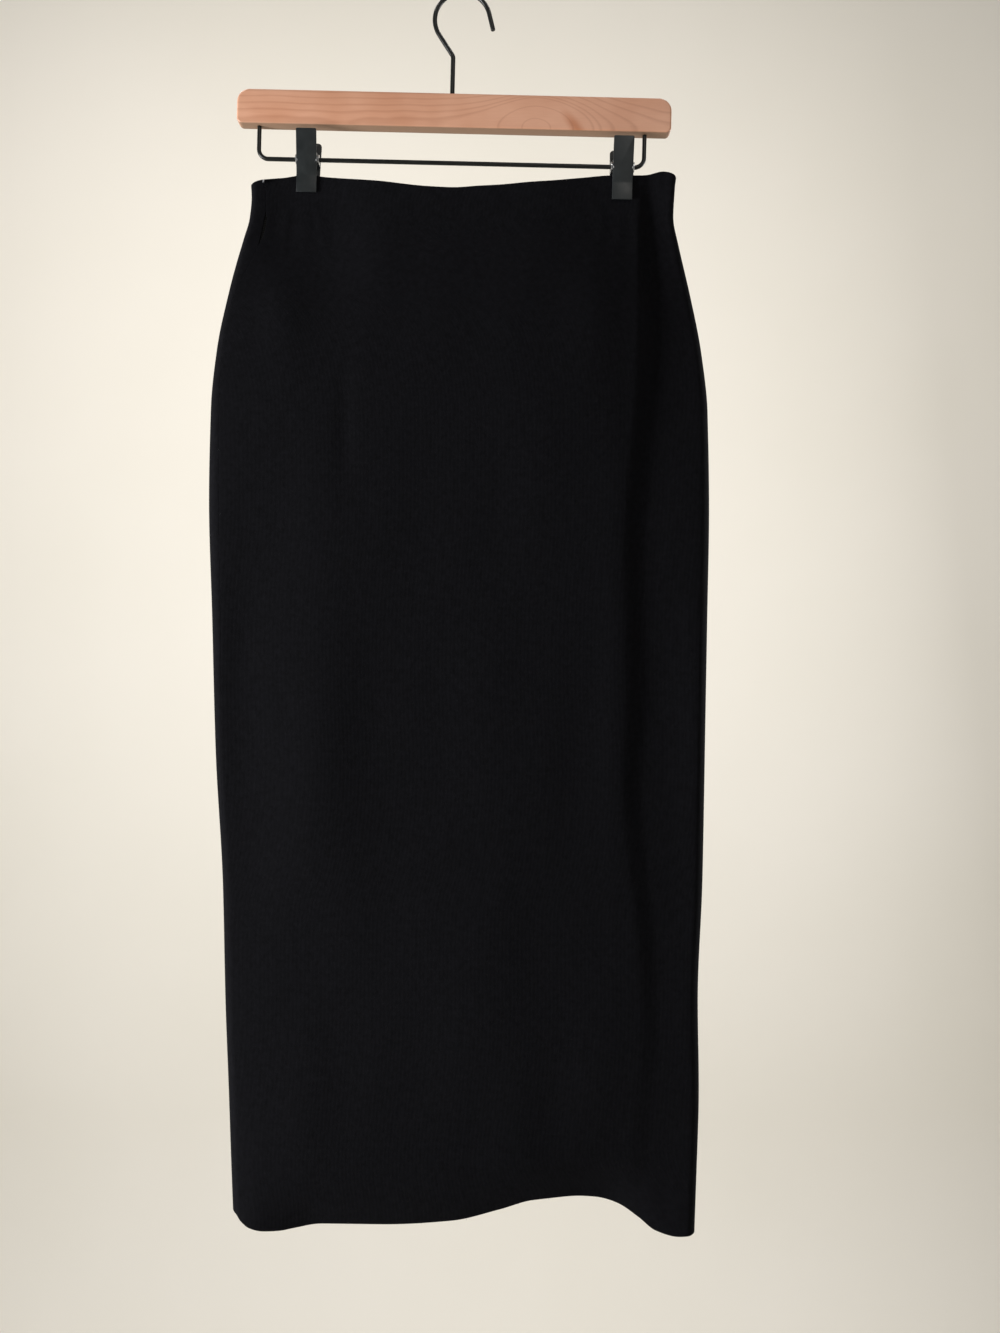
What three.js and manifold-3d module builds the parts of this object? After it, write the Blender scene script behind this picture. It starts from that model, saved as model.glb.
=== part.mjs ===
// A high-waisted maxi skirt of thick black knit, hung by its waist from a clip hanger.
// Millimetres, +Z up, the skirt's front towards -Y and its left side, as seen, at -X.
// The origin is the inside top of the hanger's hook, which rests on what carries it.
// The hanger leans a little, so its right end is lower. The skirt itself hangs plumb.

import * as THREE from "three";
import { mergeVertices } from "three/addons/utils/BufferGeometryUtils.js";
import Module from "manifold-3d";

const wasm = await Module();
wasm.setup();

// Driving dimensions of the hanger, in its own upright frame
const HANGER_LEAN = THREE.MathUtils.degToRad(1.35);
const FIT_GAP = 0.3;
const BAR = {
  length: 360, height: 28.8, thickness: 11, endRadius: 10.4, easing: 1.5,
  centreX: -5.3, topZ: -85.3,
};
const HOOK = {
  wireRadius: 1.8, bendRadius: 23, tipAngle: 15, tipLength: 14.7,
  throatAngle: 214, throatLength: 19.8, neckRadius: 6, stemX: -5.3, stemInBar: 12,
};
const WIRE = { radius: 1.5, z: -141.1, leftX: -167.4, rightX: 154.5, bendRadius: 6.3, legInBar: 8 };
const CLIP = {
  width: 16.9, frontTop: 21.4, backTop: 16, bottom: -28.2, bend: -14.2, sheet: 1.2,
  jawGap: 2.25, handleGap: 9.2, earRadius: 4, earSheet: 1, springRadius: 3.6,
};
const CLIPS = [
  { name: "clip_left", x: -126.5 },
  { name: "clip_right", x: 136.6 },
];

// Driving dimensions of the skirt
const WALL = 1.8;
const WAIST_Z = -155;
const HEM_Z = -1018;
const RIM_REACH = 70;
const ARC_START = 0.86;
const PINCH = {
  halfDepth: WALL + FIT_GAP / 2, flatHalf: 11, spread: 26, bottomZ: -174, fadeZ: -285,
};

// One row for each measured level of the laid-flat skirt: the two side folds, the radius of
// the rounded folds, and how far the middle of the front and of the back stand off the
// middle plane
const LEVELS = [
  { z: -148, left: -177.5, right: 178.4, fold: 5.6, front: 6.4, back: 5.8 },
  { z: -165, left: -176.6, right: 176.5, fold: 5.8, front: 7.0, back: 6.2 },
  { z: -184, left: -178.2, right: 176.7, fold: 6.2, front: 8.0, back: 7.0 },
  { z: -204, left: -183.2, right: 180.0, fold: 6.8, front: 9.2, back: 7.8 },
  { z: -246, left: -194.5, right: 190.0, fold: 7.6, front: 12.0, back: 9.4 },
  { z: -297, left: -205.3, right: 199.6, fold: 8.2, front: 15.0, back: 11.0 },
  { z: -347, left: -210.4, right: 204.2, fold: 8.6, front: 16.6, back: 12.0 },
  { z: -423, left: -211.9, right: 204.6, fold: 9.0, front: 17.4, back: 12.6 },
  { z: -523, left: -209.0, right: 203.0, fold: 9.0, front: 17.4, back: 12.6 },
  { z: -632, left: -206.2, right: 201.0, fold: 9.0, front: 17.2, back: 12.6 },
  { z: -741, left: -200.2, right: 199.2, fold: 9.0, front: 16.8, back: 12.4 },
  { z: -841, left: -197.5, right: 194.3, fold: 8.8, front: 16.0, back: 12.0 },
  { z: -924, left: -194.9, right: 192.8, fold: 8.6, front: 15.0, back: 11.4 },
  { z: -1030, left: -191.8, right: 189.6, fold: 8.4, front: 13.6, back: 10.8 },
];

// The waist and hem edges, from the left fold to the right one
const WAIST_EDGE = [
  { x: -177, z: -160.5 }, { x: -168, z: -157.2 }, { x: -150, z: -155.2 },
  { x: -131, z: -153.2 }, { x: -111, z: -156.4 }, { x: -70, z: -158.8 },
  { x: -30, z: -163.6 }, { x: -6, z: -165.0 }, { x: 31, z: -162.1 },
  { x: 73, z: -158.8 }, { x: 123, z: -153.4 }, { x: 148, z: -152.7 },
  { x: 168, z: -149.3 }, { x: 179, z: -155.0 },
];
const HEM_EDGE = [
  { x: -192, z: -1014.0 }, { x: -186, z: -1016.5 }, { x: -180, z: -1021.5 },
  { x: -160, z: -1023.0 }, { x: -120, z: -1019.7 }, { x: -60, z: -1020.9 },
  { x: -10, z: -1019.3 }, { x: 31, z: -1012.0 }, { x: 64, z: -1005.5 },
  { x: 90, z: -1004.1 }, { x: 116, z: -1004.7 }, { x: 132, z: -1008.5 },
  { x: 147, z: -1016.7 }, { x: 161, z: -1024.5 }, { x: 180, z: -1026.7 },
  { x: 190, z: -1023.0 },
];

// How far the left side seam lies in from the left fold, on the front, and how wide it gapes
const SEAM_INSET = [
  { z: -150, inset: 11.0, gape: 2.4 }, { z: -158, inset: 11.6, gape: 2.3 },
  { z: -161, inset: 12.0, gape: 0.3 }, { z: -182, inset: 14.0, gape: 0.4 },
  { z: -190, inset: 15.0, gape: 2.6 },
  { z: -203, inset: 16.2, gape: 2.2 }, { z: -213, inset: 15.4, gape: 0.3 },
  { z: -272, inset: 6.5, gape: 0.3 }, { z: -345, inset: 9.9, gape: 0.3 },
  { z: -423, inset: 11.4, gape: 0.3 }, { z: -560, inset: 10.0, gape: 0.3 },
  { z: -724, inset: 5.0, gape: 0.3 }, { z: -760, inset: 6.5, gape: 0.3 },
  { z: -915, inset: 4.2, gape: 0.3 }, { z: -1030, inset: 4.4, gape: 0.3 },
];
const RIGHT_SEAM_INSET = 12;

// The deep fold down the right of the front
const TROUGH = [
  { z: -150, x: 158, depth: 1.5 }, { z: -200, x: 157, depth: 5.0 },
  { z: -260, x: 156, depth: 9.0 }, { z: -372, x: 146, depth: 11.0 },
  { z: -590, x: 148, depth: 10.0 }, { z: -757, x: 152, depth: 8.0 },
  { z: -925, x: 155, depth: 4.5 }, { z: -1030, x: 157, depth: 2.0 },
];
const TROUGH_SIDES = { left: 10, right: 24 };

// Shallow ridges (standing out, positive height) and creases (negative) on each side
const FRONT_FOLDS = [
  { x: 128, top: -230, bottom: -900, width: 11, height: 2.2 },
  { x: -150, top: -470, bottom: -760, width: 15, height: 2.6 },
  { x: -97, top: -280, bottom: -440, width: 7, height: -1.2 },
  { x: 20, top: -560, bottom: -980, width: 40, height: 1.8 },
];
const BACK_FOLDS = [
  { x: -70, top: -260, bottom: -900, width: 14, height: -4.5 },
  { x: -30, top: -330, bottom: -820, width: 20, height: 2.0 },
  { x: 95, top: -420, bottom: -990, width: 22, height: -3.0 },
  { x: -150, top: -560, bottom: -940, width: 16, height: 2.2 },
];

// How far the whole tube swings forwards (negative) or back at the hem
const HEM_SWING = [
  { x: -196, y: -2 }, { x: -165, y: -6 }, { x: -110, y: -5 }, { x: -40, y: -2 },
  { x: 30, y: 3 }, { x: 90, y: 8 }, { x: 125, y: 2 }, { x: 150, y: -7 },
  { x: 175, y: -13 }, { x: 196, y: -15 },
];
const SWING_TOP_Z = -700;
const HEM_CURL = { topZ: -962, depth: 6, fromX: -150, toX: 150, ease: 30 };

// The concealed zip behind the left seam
const ZIP = { topZ: -158, bottomZ: -352, sheet: 1.1, halfWidth: 6.5, standOff: 0.7 };
const SLIDER = { width: 1.3, depth: 2.2, height: 2.4, belowWaist: 0.4 };

// How many mesh columns lie between each pair of stations across a side, and rows down it
const FRONT_BANDS = [
  { to: -0.70, count: 4 }, { to: -0.52, count: 5 }, { to: 0.50, count: 12 },
  { to: 0.60, count: 4 }, { to: 0.82, count: 9 }, { to: ARC_START, count: 1 }, { to: 1, count: 3 },
];
const BACK_BANDS = [
  { to: -0.70, count: 4 }, { to: -0.52, count: 5 }, { to: 0.50, count: 13 },
  { to: 0.72, count: 5 }, { to: ARC_START, count: 2 }, { to: 1, count: 3 },
];
const ROW_BANDS = [
  { to: -161, count: 2 }, { to: -175, count: 3 }, { to: -215, count: 4 }, { to: -300, count: 5 },
  { to: -700, count: 8 }, { to: -950, count: 6 }, { to: HEM_Z, count: 4 },
];

// Colours, roughness and metalness of each material
const MATERIALS = {
  cloth: { color: 0x17171a, roughness: 0.92, metalness: 0 },
  zip: { color: 0x121214, roughness: 0.8, metalness: 0 },
  slider: { color: 0x8b8d90, roughness: 0.4, metalness: 0.9 },
  wood: { color: 0xe0bd98, roughness: 0.45, metalness: 0 },
  wire: { color: 0x17181a, roughness: 0.35, metalness: 0.6 },
  clip: { color: 0x3d4245, roughness: 0.45, metalness: 0.5 },
  spring: { color: 0x9a9da0, roughness: 0.3, metalness: 0.9 },
};

// Smooth step from 0 at `from` to 1 at `to`, in either direction
function ease(value, from, to) {
  const t = THREE.MathUtils.clamp((value - from) / (to - from), 0, 1);
  return t * t * (3 - 2 * t);
}

function bell(distance, width) {
  return Math.exp(-((distance / width) ** 2));
}

// The value of one column of a table at `key`, along a monotone cubic through its rows
function lookup(table, keyName, valueName, key) {
  const rising = table.at(-1)[keyName] > table[0][keyName];
  const rows = rising ? table : [...table].reverse();
  const k = rows.map((row) => row[keyName]);
  const v = rows.map((row) => row[valueName]);
  const last = k.length - 1;
  if (key <= k[0]) return v[0];
  if (key >= k[last]) return v[last];
  const i = k.findIndex((edge) => key < edge) - 1;
  const slope = (j) => (v[j + 1] - v[j]) / (k[j + 1] - k[j]);
  const tangent = (j) => {
    if (j === 0) return slope(0);
    if (j === last) return slope(last - 1);
    const [a, b] = [slope(j - 1), slope(j)];
    return a * b <= 0 ? 0 : (2 * a * b) / (a + b);
  };
  const h = k[i + 1] - k[i];
  const t = (key - k[i]) / h;
  return (1 + 2 * t) * (1 - t) ** 2 * v[i] + t * (1 - t) ** 2 * h * tangent(i)
    + t * t * (3 - 2 * t) * v[i + 1] + t * t * (t - 1) * h * tangent(i + 1);
}

// The hanger's own frame turned into the row's frame
function leant(x, z) {
  const [s, c] = [Math.sin(HANGER_LEAN), Math.cos(HANGER_LEAN)];
  return { x: x * c + z * s, z: z * c - x * s };
}

// Where each clip's jaws hold the waist
const GRIPS = CLIPS.map((clip) => leant(clip.x, WIRE.z + CLIP.bottom).x);

// How fully the clips press the two layers together at a place, from 0 to 1
function pinch(x, z) {
  const down = 1 - ease(z, PINCH.bottomZ, PINCH.fadeZ);
  const across = GRIPS.map((grip) => (
    1 - ease(Math.abs(x - grip), PINCH.flatHalf, PINCH.flatHalf + PINCH.spread)
  ));
  return down * Math.max(...across);
}

function foldsAt(folds, x, z) {
  return folds.reduce((sum, fold) => {
    const mid = (fold.top + fold.bottom) / 2;
    const half = (fold.top - fold.bottom) / 2;
    const along = 1 - ease(Math.abs(z - mid), 0, half);
    return sum + fold.height * along * bell(x - fold.x, fold.width);
  }, 0);
}

function troughAt(x, z) {
  const offset = x - lookup(TROUGH, "z", "x", z);
  const width = offset < 0 ? TROUGH_SIDES.left : TROUGH_SIDES.right;
  return lookup(TROUGH, "z", "depth", z) * bell(offset, width);
}

function curlAt(x, z) {
  const down = Math.max(0, (HEM_CURL.topZ - z) / (HEM_CURL.topZ - HEM_Z));
  const across = ease(x, HEM_CURL.fromX - HEM_CURL.ease, HEM_CURL.fromX + HEM_CURL.ease)
    * (1 - ease(x, HEM_CURL.toX - HEM_CURL.ease, HEM_CURL.toX + HEM_CURL.ease));
  return HEM_CURL.depth * down * down * across;
}

// A point of the section at level z. The station goes once round the skirt: 0 at the left
// fold, 2 at the right fold, front first and then the back, and 4 at the left fold again.
function sectionPoint(station, z) {
  const onFront = station <= 2;
  const w = onFront ? station - 1 : 3 - station;
  const left = lookup(LEVELS, "z", "left", z);
  const right = lookup(LEVELS, "z", "right", z);
  const fold = lookup(LEVELS, "z", "fold", z);
  const centre = (left + right) / 2;
  const half = (right - left) / 2;
  const turn = Math.max(0, (Math.abs(w) - ARC_START) / (1 - ARC_START)) * (Math.PI / 2);
  const reach = turn > 0
    ? half - fold + fold * Math.sin(turn)
    : (half - fold) * (Math.abs(w) / ARC_START);
  const x = centre + Math.sign(w) * reach;
  const full = lookup(LEVELS, "z", onFront ? "front" : "back", z);
  const dome = Math.sqrt(Math.max(0, 1 - ((x - centre) / half) ** 2));
  const relief = onFront
    ? foldsAt(FRONT_FOLDS, x, z) - troughAt(x, z) - curlAt(x, z)
    : foldsAt(BACK_FOLDS, x, z);
  const free = Math.cos(turn) * (fold + (full - fold) * dome + relief);
  const held = Math.cos(turn) * PINCH.halfDepth;
  const depth = free + (held - free) * pinch(x, z);
  const swing = lookup(HEM_SWING, "x", "y", x) * ease(z, SWING_TOP_Z, HEM_Z);
  return new THREE.Vector3(x, swing + (onFront ? -depth : depth), z);
}

// The cloth's surface moved in by `inset`, with the waist and hem drawn to their edges
function clothPoint(station, z, inset) {
  const step = 0.004;
  const wrap = (s) => (s + 4) % 4;
  const point = sectionPoint(wrap(station), z);
  const along = sectionPoint(wrap(station + step), z).sub(sectionPoint(wrap(station - step), z));
  const inward = new THREE.Vector3(-along.y, along.x, 0).normalize();
  const waistShift = lookup(WAIST_EDGE, "x", "z", point.x) - WAIST_Z;
  const hemShift = lookup(HEM_EDGE, "x", "z", point.x) - HEM_Z;
  point.z += waistShift * (1 - ease(z, WAIST_Z, WAIST_Z - RIM_REACH));
  point.z += hemShift * (1 - ease(z, HEM_Z, HEM_Z + RIM_REACH));
  return point.addScaledVector(inward, inset);
}

// The station on the front or back that lies `inset` in from a side fold
function stationAt(side, onFront, inset, z) {
  const fold = lookup(LEVELS, "z", "fold", z);
  const half = (lookup(LEVELS, "z", "right", z) - lookup(LEVELS, "z", "left", z)) / 2;
  const w = inset < fold
    ? ARC_START + (1 - ARC_START) * (Math.asin(1 - inset / fold) / (Math.PI / 2))
    : ARC_START * ((half - inset) / (half - fold));
  return onFront ? 1 + side * w : 3 - side * w;
}

// Evenly spaced stops through bands, from `from`, each band ending at its own `to`
function stops(from, bands) {
  const result = [from];
  for (const band of bands) {
    const start = result.at(-1);
    for (let i = 1; i <= band.count; i += 1) {
      result.push(start + ((band.to - start) * i) / band.count);
    }
  }
  return result;
}

function geometryOf(positions, indices) {
  const geometry = new THREE.BufferGeometry();
  geometry.setAttribute("position", new THREE.Float32BufferAttribute(positions, 3));
  geometry.setIndex(indices);
  geometry.computeVertexNormals();
  return geometry;
}

// A closed wall between an outer and an inner grid of points, both [row][column]
function wallGeometry(outer, inner) {
  const rows = outer.length;
  const columns = outer[0].length;
  const positions = [...outer.flat(), ...inner.flat()].flatMap((p) => [p.x, p.y, p.z]);
  const indices = [];
  const out = (r, c) => r * columns + c;
  const inn = (r, c) => rows * columns + out(r, c);
  const quad = (a, b, c, d) => indices.push(a, b, c, a, c, d);
  for (let r = 0; r < rows - 1; r += 1) {
    for (let c = 0; c < columns - 1; c += 1) {
      quad(out(r, c), out(r + 1, c), out(r + 1, c + 1), out(r, c + 1));
      quad(inn(r, c), inn(r, c + 1), inn(r + 1, c + 1), inn(r + 1, c));
    }
    quad(out(r, 0), inn(r, 0), inn(r + 1, 0), out(r + 1, 0));
    quad(out(r, columns - 1), out(r + 1, columns - 1), inn(r + 1, columns - 1), inn(r, columns - 1));
  }
  const last = rows - 1;
  for (let c = 0; c < columns - 1; c += 1) {
    quad(out(0, c), out(0, c + 1), inn(0, c + 1), inn(0, c));
    quad(out(last, c), inn(last, c), inn(last, c + 1), out(last, c + 1));
  }
  return geometryOf(positions, indices);
}

// A stretch of the skirt's tube: the stations of each level, between two insets
function clothGeometry(levels, stationsAt, outerInset, innerInset) {
  const grid = (inset) => levels.map((z) => stationsAt(z).map((s) => clothPoint(s, z, inset)));
  return wallGeometry(grid(outerInset), grid(innerInset));
}

// The stations of the left seam's two edges at a level, half the gape to each side of it
function leftSeam(z) {
  const inset = lookup(SEAM_INSET, "z", "inset", z);
  const gape = lookup(SEAM_INSET, "z", "gape", z);
  return {
    frontEdge: stationAt(-1, true, inset + gape / 2, z),
    backEdge: stationAt(-1, true, inset - gape / 2, z),
    middle: inset,
  };
}

// The stations of the right seam's two edges, on the back
function rightSeam(z) {
  return {
    frontEdge: stationAt(1, false, RIGHT_SEAM_INSET - FIT_GAP / 2, z),
    backEdge: stationAt(1, false, RIGHT_SEAM_INSET + FIT_GAP / 2, z),
  };
}

function remap(values, from, to) {
  const [first, last] = [values[0], values.at(-1)];
  return values.map((v) => from + ((v - first) / (last - first)) * (to - from));
}

// The front runs from the left seam across the front and round the right fold to its seam
function frontStations(z) {
  const [left, right] = [leftSeam(z).frontEdge, rightSeam(z).frontEdge];
  const across = stops(left - 1, FRONT_BANDS).map((w) => w + 1);
  const round = stops(-1, [{ to: -ARC_START, count: 3 }]).map((w) => w + 3);
  return [...across, ...round.slice(1).filter((s) => s < right - 0.004), right];
}

// The back runs from the right seam across the back and round the left fold to its seam
function backStations(z) {
  const { backEdge } = rightSeam(z);
  const across = stops(-1, BACK_BANDS).map((w) => 3 - w).reverse();
  const inner = across.filter((s) => s > backEdge + 0.004);
  const left = leftSeam(z).backEdge;
  const round = remap([0, 1, 2, 3, 4], 0, left);
  return [backEdge, ...inner, ...round.slice(1).map((s) => s + 4)];
}

function zipStations(z) {
  const { middle } = leftSeam(z);
  const ends = [middle - ZIP.halfWidth, middle + ZIP.halfWidth]
    .map((inset) => stationAt(-1, true, Math.max(inset, 1), z));
  return remap([0, 1, 2, 3], ends[0], ends[1]);
}

// A curve that is sampled at its own knots, so that bends get more steps than straights
class KnotCurve extends THREE.Curve {
  constructor(knots) {
    super();
    this.knots = knots;
  }

  getPoint(t, target = new THREE.Vector3()) {
    const at = THREE.MathUtils.clamp(t, 0, 1) * (this.knots.length - 1);
    const i = Math.min(Math.floor(at), this.knots.length - 2);
    return target.lerpVectors(this.knots[i], this.knots[i + 1], at - i);
  }

  getPointAt(u, target) {
    return this.getPoint(u, target);
  }

  getTangentAt(u, target = new THREE.Vector3()) {
    const step = 0.5 / (this.knots.length - 1);
    return target.copy(this.getPoint(u + step)).sub(this.getPoint(u - step)).normalize();
  }
}

function wireGeometry(knots, radius) {
  const section = new THREE.Shape().absarc(0, 0, radius, 0, Math.PI * 2);
  return new THREE.ExtrudeGeometry(section, {
    extrudePath: new KnotCurve(knots), steps: knots.length - 1, curveSegments: 5,
  });
}

// Points of an arc in the upright plane, angles in degrees from +X towards +Z
function arcKnots(x, z, radius, fromDegrees, toDegrees, count) {
  return remap([...Array(count + 1).keys()], fromDegrees, toDegrees).map((degrees) => {
    const angle = THREE.MathUtils.degToRad(degrees);
    return new THREE.Vector3(x + radius * Math.cos(angle), 0, z + radius * Math.sin(angle));
  });
}

// The hook: a straight tip, the bend that hangs, a straight throat, the neck and the stem
function hookGeometry() {
  const centreZ = HOOK.wireRadius - HOOK.bendRadius;
  const bend = arcKnots(0, centreZ, HOOK.bendRadius, HOOK.tipAngle, HOOK.throatAngle, 22);
  const tipTurn = THREE.MathUtils.degToRad(HOOK.tipAngle);
  const tip = bend[0].clone().add(new THREE.Vector3(
    HOOK.tipLength * Math.sin(tipTurn), 0, -HOOK.tipLength * Math.cos(tipTurn),
  ));
  const throatTurn = HOOK.throatAngle - 180;
  const throat = THREE.MathUtils.degToRad(throatTurn);
  const neckTop = bend.at(-1).clone().add(new THREE.Vector3(
    HOOK.throatLength * Math.sin(throat), 0, -HOOK.throatLength * Math.cos(throat),
  ));
  const neckX = HOOK.stemX - HOOK.neckRadius;
  const neckZ = neckTop.z - HOOK.neckRadius * Math.sin(throat);
  const neck = arcKnots(neckX, neckZ, HOOK.neckRadius, throatTurn, 0, 4);
  const stemEnd = new THREE.Vector3(HOOK.stemX, 0, BAR.topZ - HOOK.stemInBar);
  return wireGeometry([tip, ...bend, ...neck, stemEnd], HOOK.wireRadius);
}

// The wire below the bar that carries the clips, its two ends bent up into the wood
function wireBarGeometry() {
  const { leftX, rightX, z, bendRadius, radius, legInBar } = WIRE;
  const legTop = BAR.topZ - BAR.height + legInBar;
  const left = arcKnots(leftX + bendRadius, z + bendRadius, bendRadius, 180, 270, 6);
  const right = arcKnots(rightX - bendRadius, z + bendRadius, bendRadius, 270, 360, 6);
  const ends = [leftX, rightX].map((x) => new THREE.Vector3(x, 0, legTop));
  return wireGeometry([ends[0], ...left, ...right, ends[1]], radius);
}

// Turns an extrusion drawn in (Y, Z) so that its depth runs along X, centred on x
function extrudeAcross(shape, width, x, curveSegments = 8) {
  const geometry = new THREE.ExtrudeGeometry(shape, {
    depth: width, bevelEnabled: false, curveSegments,
  });
  geometry.translate(0, 0, x - width / 2);
  return geometry.applyMatrix4(new THREE.Matrix4().makeBasis(
    new THREE.Vector3(0, 1, 0), new THREE.Vector3(0, 0, 1), new THREE.Vector3(1, 0, 0),
  ));
}

function solidOf(geometry) {
  const bare = geometry.clone();
  bare.deleteAttribute("normal");
  bare.deleteAttribute("uv");
  const merged = mergeVertices(bare, 1e-4);
  return new wasm.Manifold(new wasm.Mesh({
    numProp: 3,
    vertProperties: new Float32Array(merged.attributes.position.array),
    triVerts: new Uint32Array(merged.index.array),
  }));
}

function geometryOfSolid(solid) {
  const mesh = solid.getMesh();
  return geometryOf(Array.from(mesh.vertProperties), Array.from(mesh.triVerts));
}

function roundedRectangle(width, height, radius) {
  const [x, y] = [width / 2, height / 2];
  const shape = new THREE.Shape();
  shape.moveTo(-x + radius, -y);
  shape.absarc(x - radius, -y + radius, radius, -Math.PI / 2, 0);
  shape.absarc(x - radius, y - radius, radius, 0, Math.PI / 2);
  shape.absarc(-x + radius, y - radius, radius, Math.PI / 2, Math.PI);
  shape.absarc(-x + radius, -y + radius, radius, Math.PI, Math.PI * 1.5);
  return shape;
}

// An upright drill for a wire of a radius, from level `low` to level `high`
function drill(x, low, high, wireRadius) {
  const geometry = new THREE.CylinderGeometry(
    wireRadius + FIT_GAP, wireRadius + FIT_GAP, high - low, 16,
  );
  return geometry.rotateX(Math.PI / 2).translate(x, 0, (low + high) / 2);
}

// The wooden bar, its edges eased, bored for the hook's stem and for the wire's two ends
function barGeometry() {
  const { length, height, thickness, endRadius, easing, centreX, topZ } = BAR;
  const outline = roundedRectangle(length - easing * 2, height - easing * 2, endRadius - easing);
  const board = new THREE.ExtrudeGeometry(outline, {
    depth: thickness - easing * 2, curveSegments: 6,
    bevelThickness: easing, bevelSize: easing, bevelSegments: 3,
  });
  board.translate(0, 0, easing - thickness / 2);
  board.rotateX(Math.PI / 2).translate(centreX, 0, topZ - height / 2);
  const underside = topZ - height;
  const over = 2;
  const stemHole = drill(HOOK.stemX, topZ - HOOK.stemInBar - FIT_GAP, topZ + over, HOOK.wireRadius);
  const legHoles = [WIRE.leftX, WIRE.rightX].map((x) => (
    drill(x, underside - over, underside + WIRE.legInBar + FIT_GAP, WIRE.radius)
  ));
  const bored = [stemHole, ...legHoles].reduce(
    (solid, hole) => solid.subtract(solidOf(hole)), solidOf(board),
  );
  return geometryOfSolid(bored);
}

// The inner face of a clip plate at a height above the wire
function plateDepth(z) {
  const rise = Math.max(0, (z - CLIP.bend) / (CLIP.frontTop - CLIP.bend));
  return CLIP.jawGap + (CLIP.handleGap - CLIP.jawGap) * rise;
}

// One plate of a clip, bent at the jaws, with two ears that the wire goes through.
// facing is -1 for the front plate and 1 for the back one, whose ears go inside.
function plateGeometry(facing) {
  const heights = [CLIP.bottom, CLIP.bend, facing < 0 ? CLIP.frontTop : CLIP.backTop];
  const inner = heights.map((z) => new THREE.Vector2(facing * plateDepth(z), z));
  const outer = heights.map((z) => new THREE.Vector2(facing * (plateDepth(z) + CLIP.sheet), z));
  const plate = extrudeAcross(new THREE.Shape([...inner, ...outer.reverse()]), CLIP.width, 0);
  const earInset = facing < 0 ? 0 : CLIP.earSheet + FIT_GAP;
  const earX = CLIP.width / 2 - CLIP.earSheet / 2 - earInset;
  const ears = [-earX, earX].map((x) => extrudeAcross(earShape(facing), CLIP.earSheet, x));
  return geometryOfSolid(ears.reduce((solid, ear) => solid.add(solidOf(ear)), solidOf(plate)));
}

function earShape(facing) {
  const r = CLIP.earRadius;
  const intoSheet = CLIP.sheet / 2;
  const outline = Array.from({ length: 9 }, (_, i) => {
    const angle = -Math.PI / 2 + (i * Math.PI) / 8;
    return new THREE.Vector2(-facing * r * Math.cos(angle), r * Math.sin(angle));
  });
  const root = [r, -r].map((z) => new THREE.Vector2(facing * (plateDepth(z) + intoSheet), z));
  const shape = new THREE.Shape([...outline, ...root]);
  shape.holes.push(new THREE.Path().absarc(0, 0, WIRE.radius + FIT_GAP, 0, Math.PI * 2));
  return shape;
}

// The coil spring between the ears, as one sleeve round the wire
function springGeometry() {
  const ears = 2 * (CLIP.earSheet + FIT_GAP) + FIT_GAP;
  const half = CLIP.width / 2 - ears + FIT_GAP;
  const [bore, rim] = [WIRE.radius + FIT_GAP, CLIP.springRadius];
  const profile = [[bore, -half], [rim, -half], [rim, half], [bore, half], [bore, -half]]
    .map(([r, y]) => new THREE.Vector2(r, y));
  return new THREE.LatheGeometry(profile, 16).rotateZ(Math.PI / 2);
}

// The zip's slider, standing in the gape at the top of the left seam
function sliderGeometry() {
  const z = WAIST_Z - SLIDER.height / 2 - SLIDER.belowWaist;
  const at = clothPoint(stationAt(-1, true, leftSeam(z).middle, z), z, WALL / 2);
  const box = new THREE.BoxGeometry(SLIDER.width, SLIDER.depth, SLIDER.height);
  return box.translate(at.x, at.y, at.z);
}

const materials = Object.fromEntries(
  Object.entries(MATERIALS).map(([name, look]) => [name, new THREE.MeshStandardMaterial(look)]),
);

function piece(name, geometry, look) {
  const mesh = new THREE.Mesh(geometry, materials[look]);
  mesh.name = name;
  return mesh;
}

function buildSkirt() {
  const levels = stops(WAIST_Z, ROW_BANDS);
  const zipLevels = levels.filter((z) => z < ZIP.topZ && z > ZIP.bottomZ);
  const zipOuter = WALL + ZIP.standOff;
  const skirt = new THREE.Group();
  skirt.add(
    piece("front_panel", clothGeometry(levels, frontStations, 0, WALL), "cloth"),
    piece("back_panel", clothGeometry(levels, backStations, 0, WALL), "cloth"),
    piece("side_zip", clothGeometry(zipLevels, zipStations, zipOuter, zipOuter + ZIP.sheet), "zip"),
    piece("zip_slider", sliderGeometry(), "slider"),
  );
  return skirt;
}

function buildHanger() {
  const hanger = new THREE.Group();
  hanger.rotation.y = HANGER_LEAN;
  hanger.add(
    piece("hanger_bar", barGeometry(), "wood"),
    piece("hanger_hook", hookGeometry(), "wire"),
    piece("wire_bar", wireBarGeometry(), "wire"),
  );
  for (const clip of CLIPS) {
    const group = new THREE.Group();
    group.position.set(clip.x, 0, WIRE.z);
    group.add(
      piece(`${clip.name}_front`, plateGeometry(-1), "clip"),
      piece(`${clip.name}_back`, plateGeometry(1), "clip"),
      piece(`${clip.name}_spring`, springGeometry(), "spring"),
    );
    hanger.add(group);
  }
  return hanger;
}

const part = new THREE.Group();
part.add(buildSkirt(), buildHanger());

export default part;
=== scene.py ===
"""A high-waisted maxi skirt of thick black knit, hung by its waist from a clip hanger.

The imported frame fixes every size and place. The cloth follows the same named levels, folds
and edges as its solid, drawn finer and creased more, and the hanger follows its solids.
Tables of the cloth are in millimetres, as a cutter reads them, and MM turns them to metres.
"""

from __future__ import annotations

import logging
import math
import random
from collections.abc import Iterable, Sequence
from dataclasses import dataclass
from enum import Enum
from typing import Any, NamedTuple

import bmesh
import bpy
import numpy as np
from bmesh.types import BMEdge, BMesh, BMFace, BMVert
from bpy.types import Material, Mesh, Node, NodeSocket, Object
from mathutils import Matrix, Vector

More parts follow.
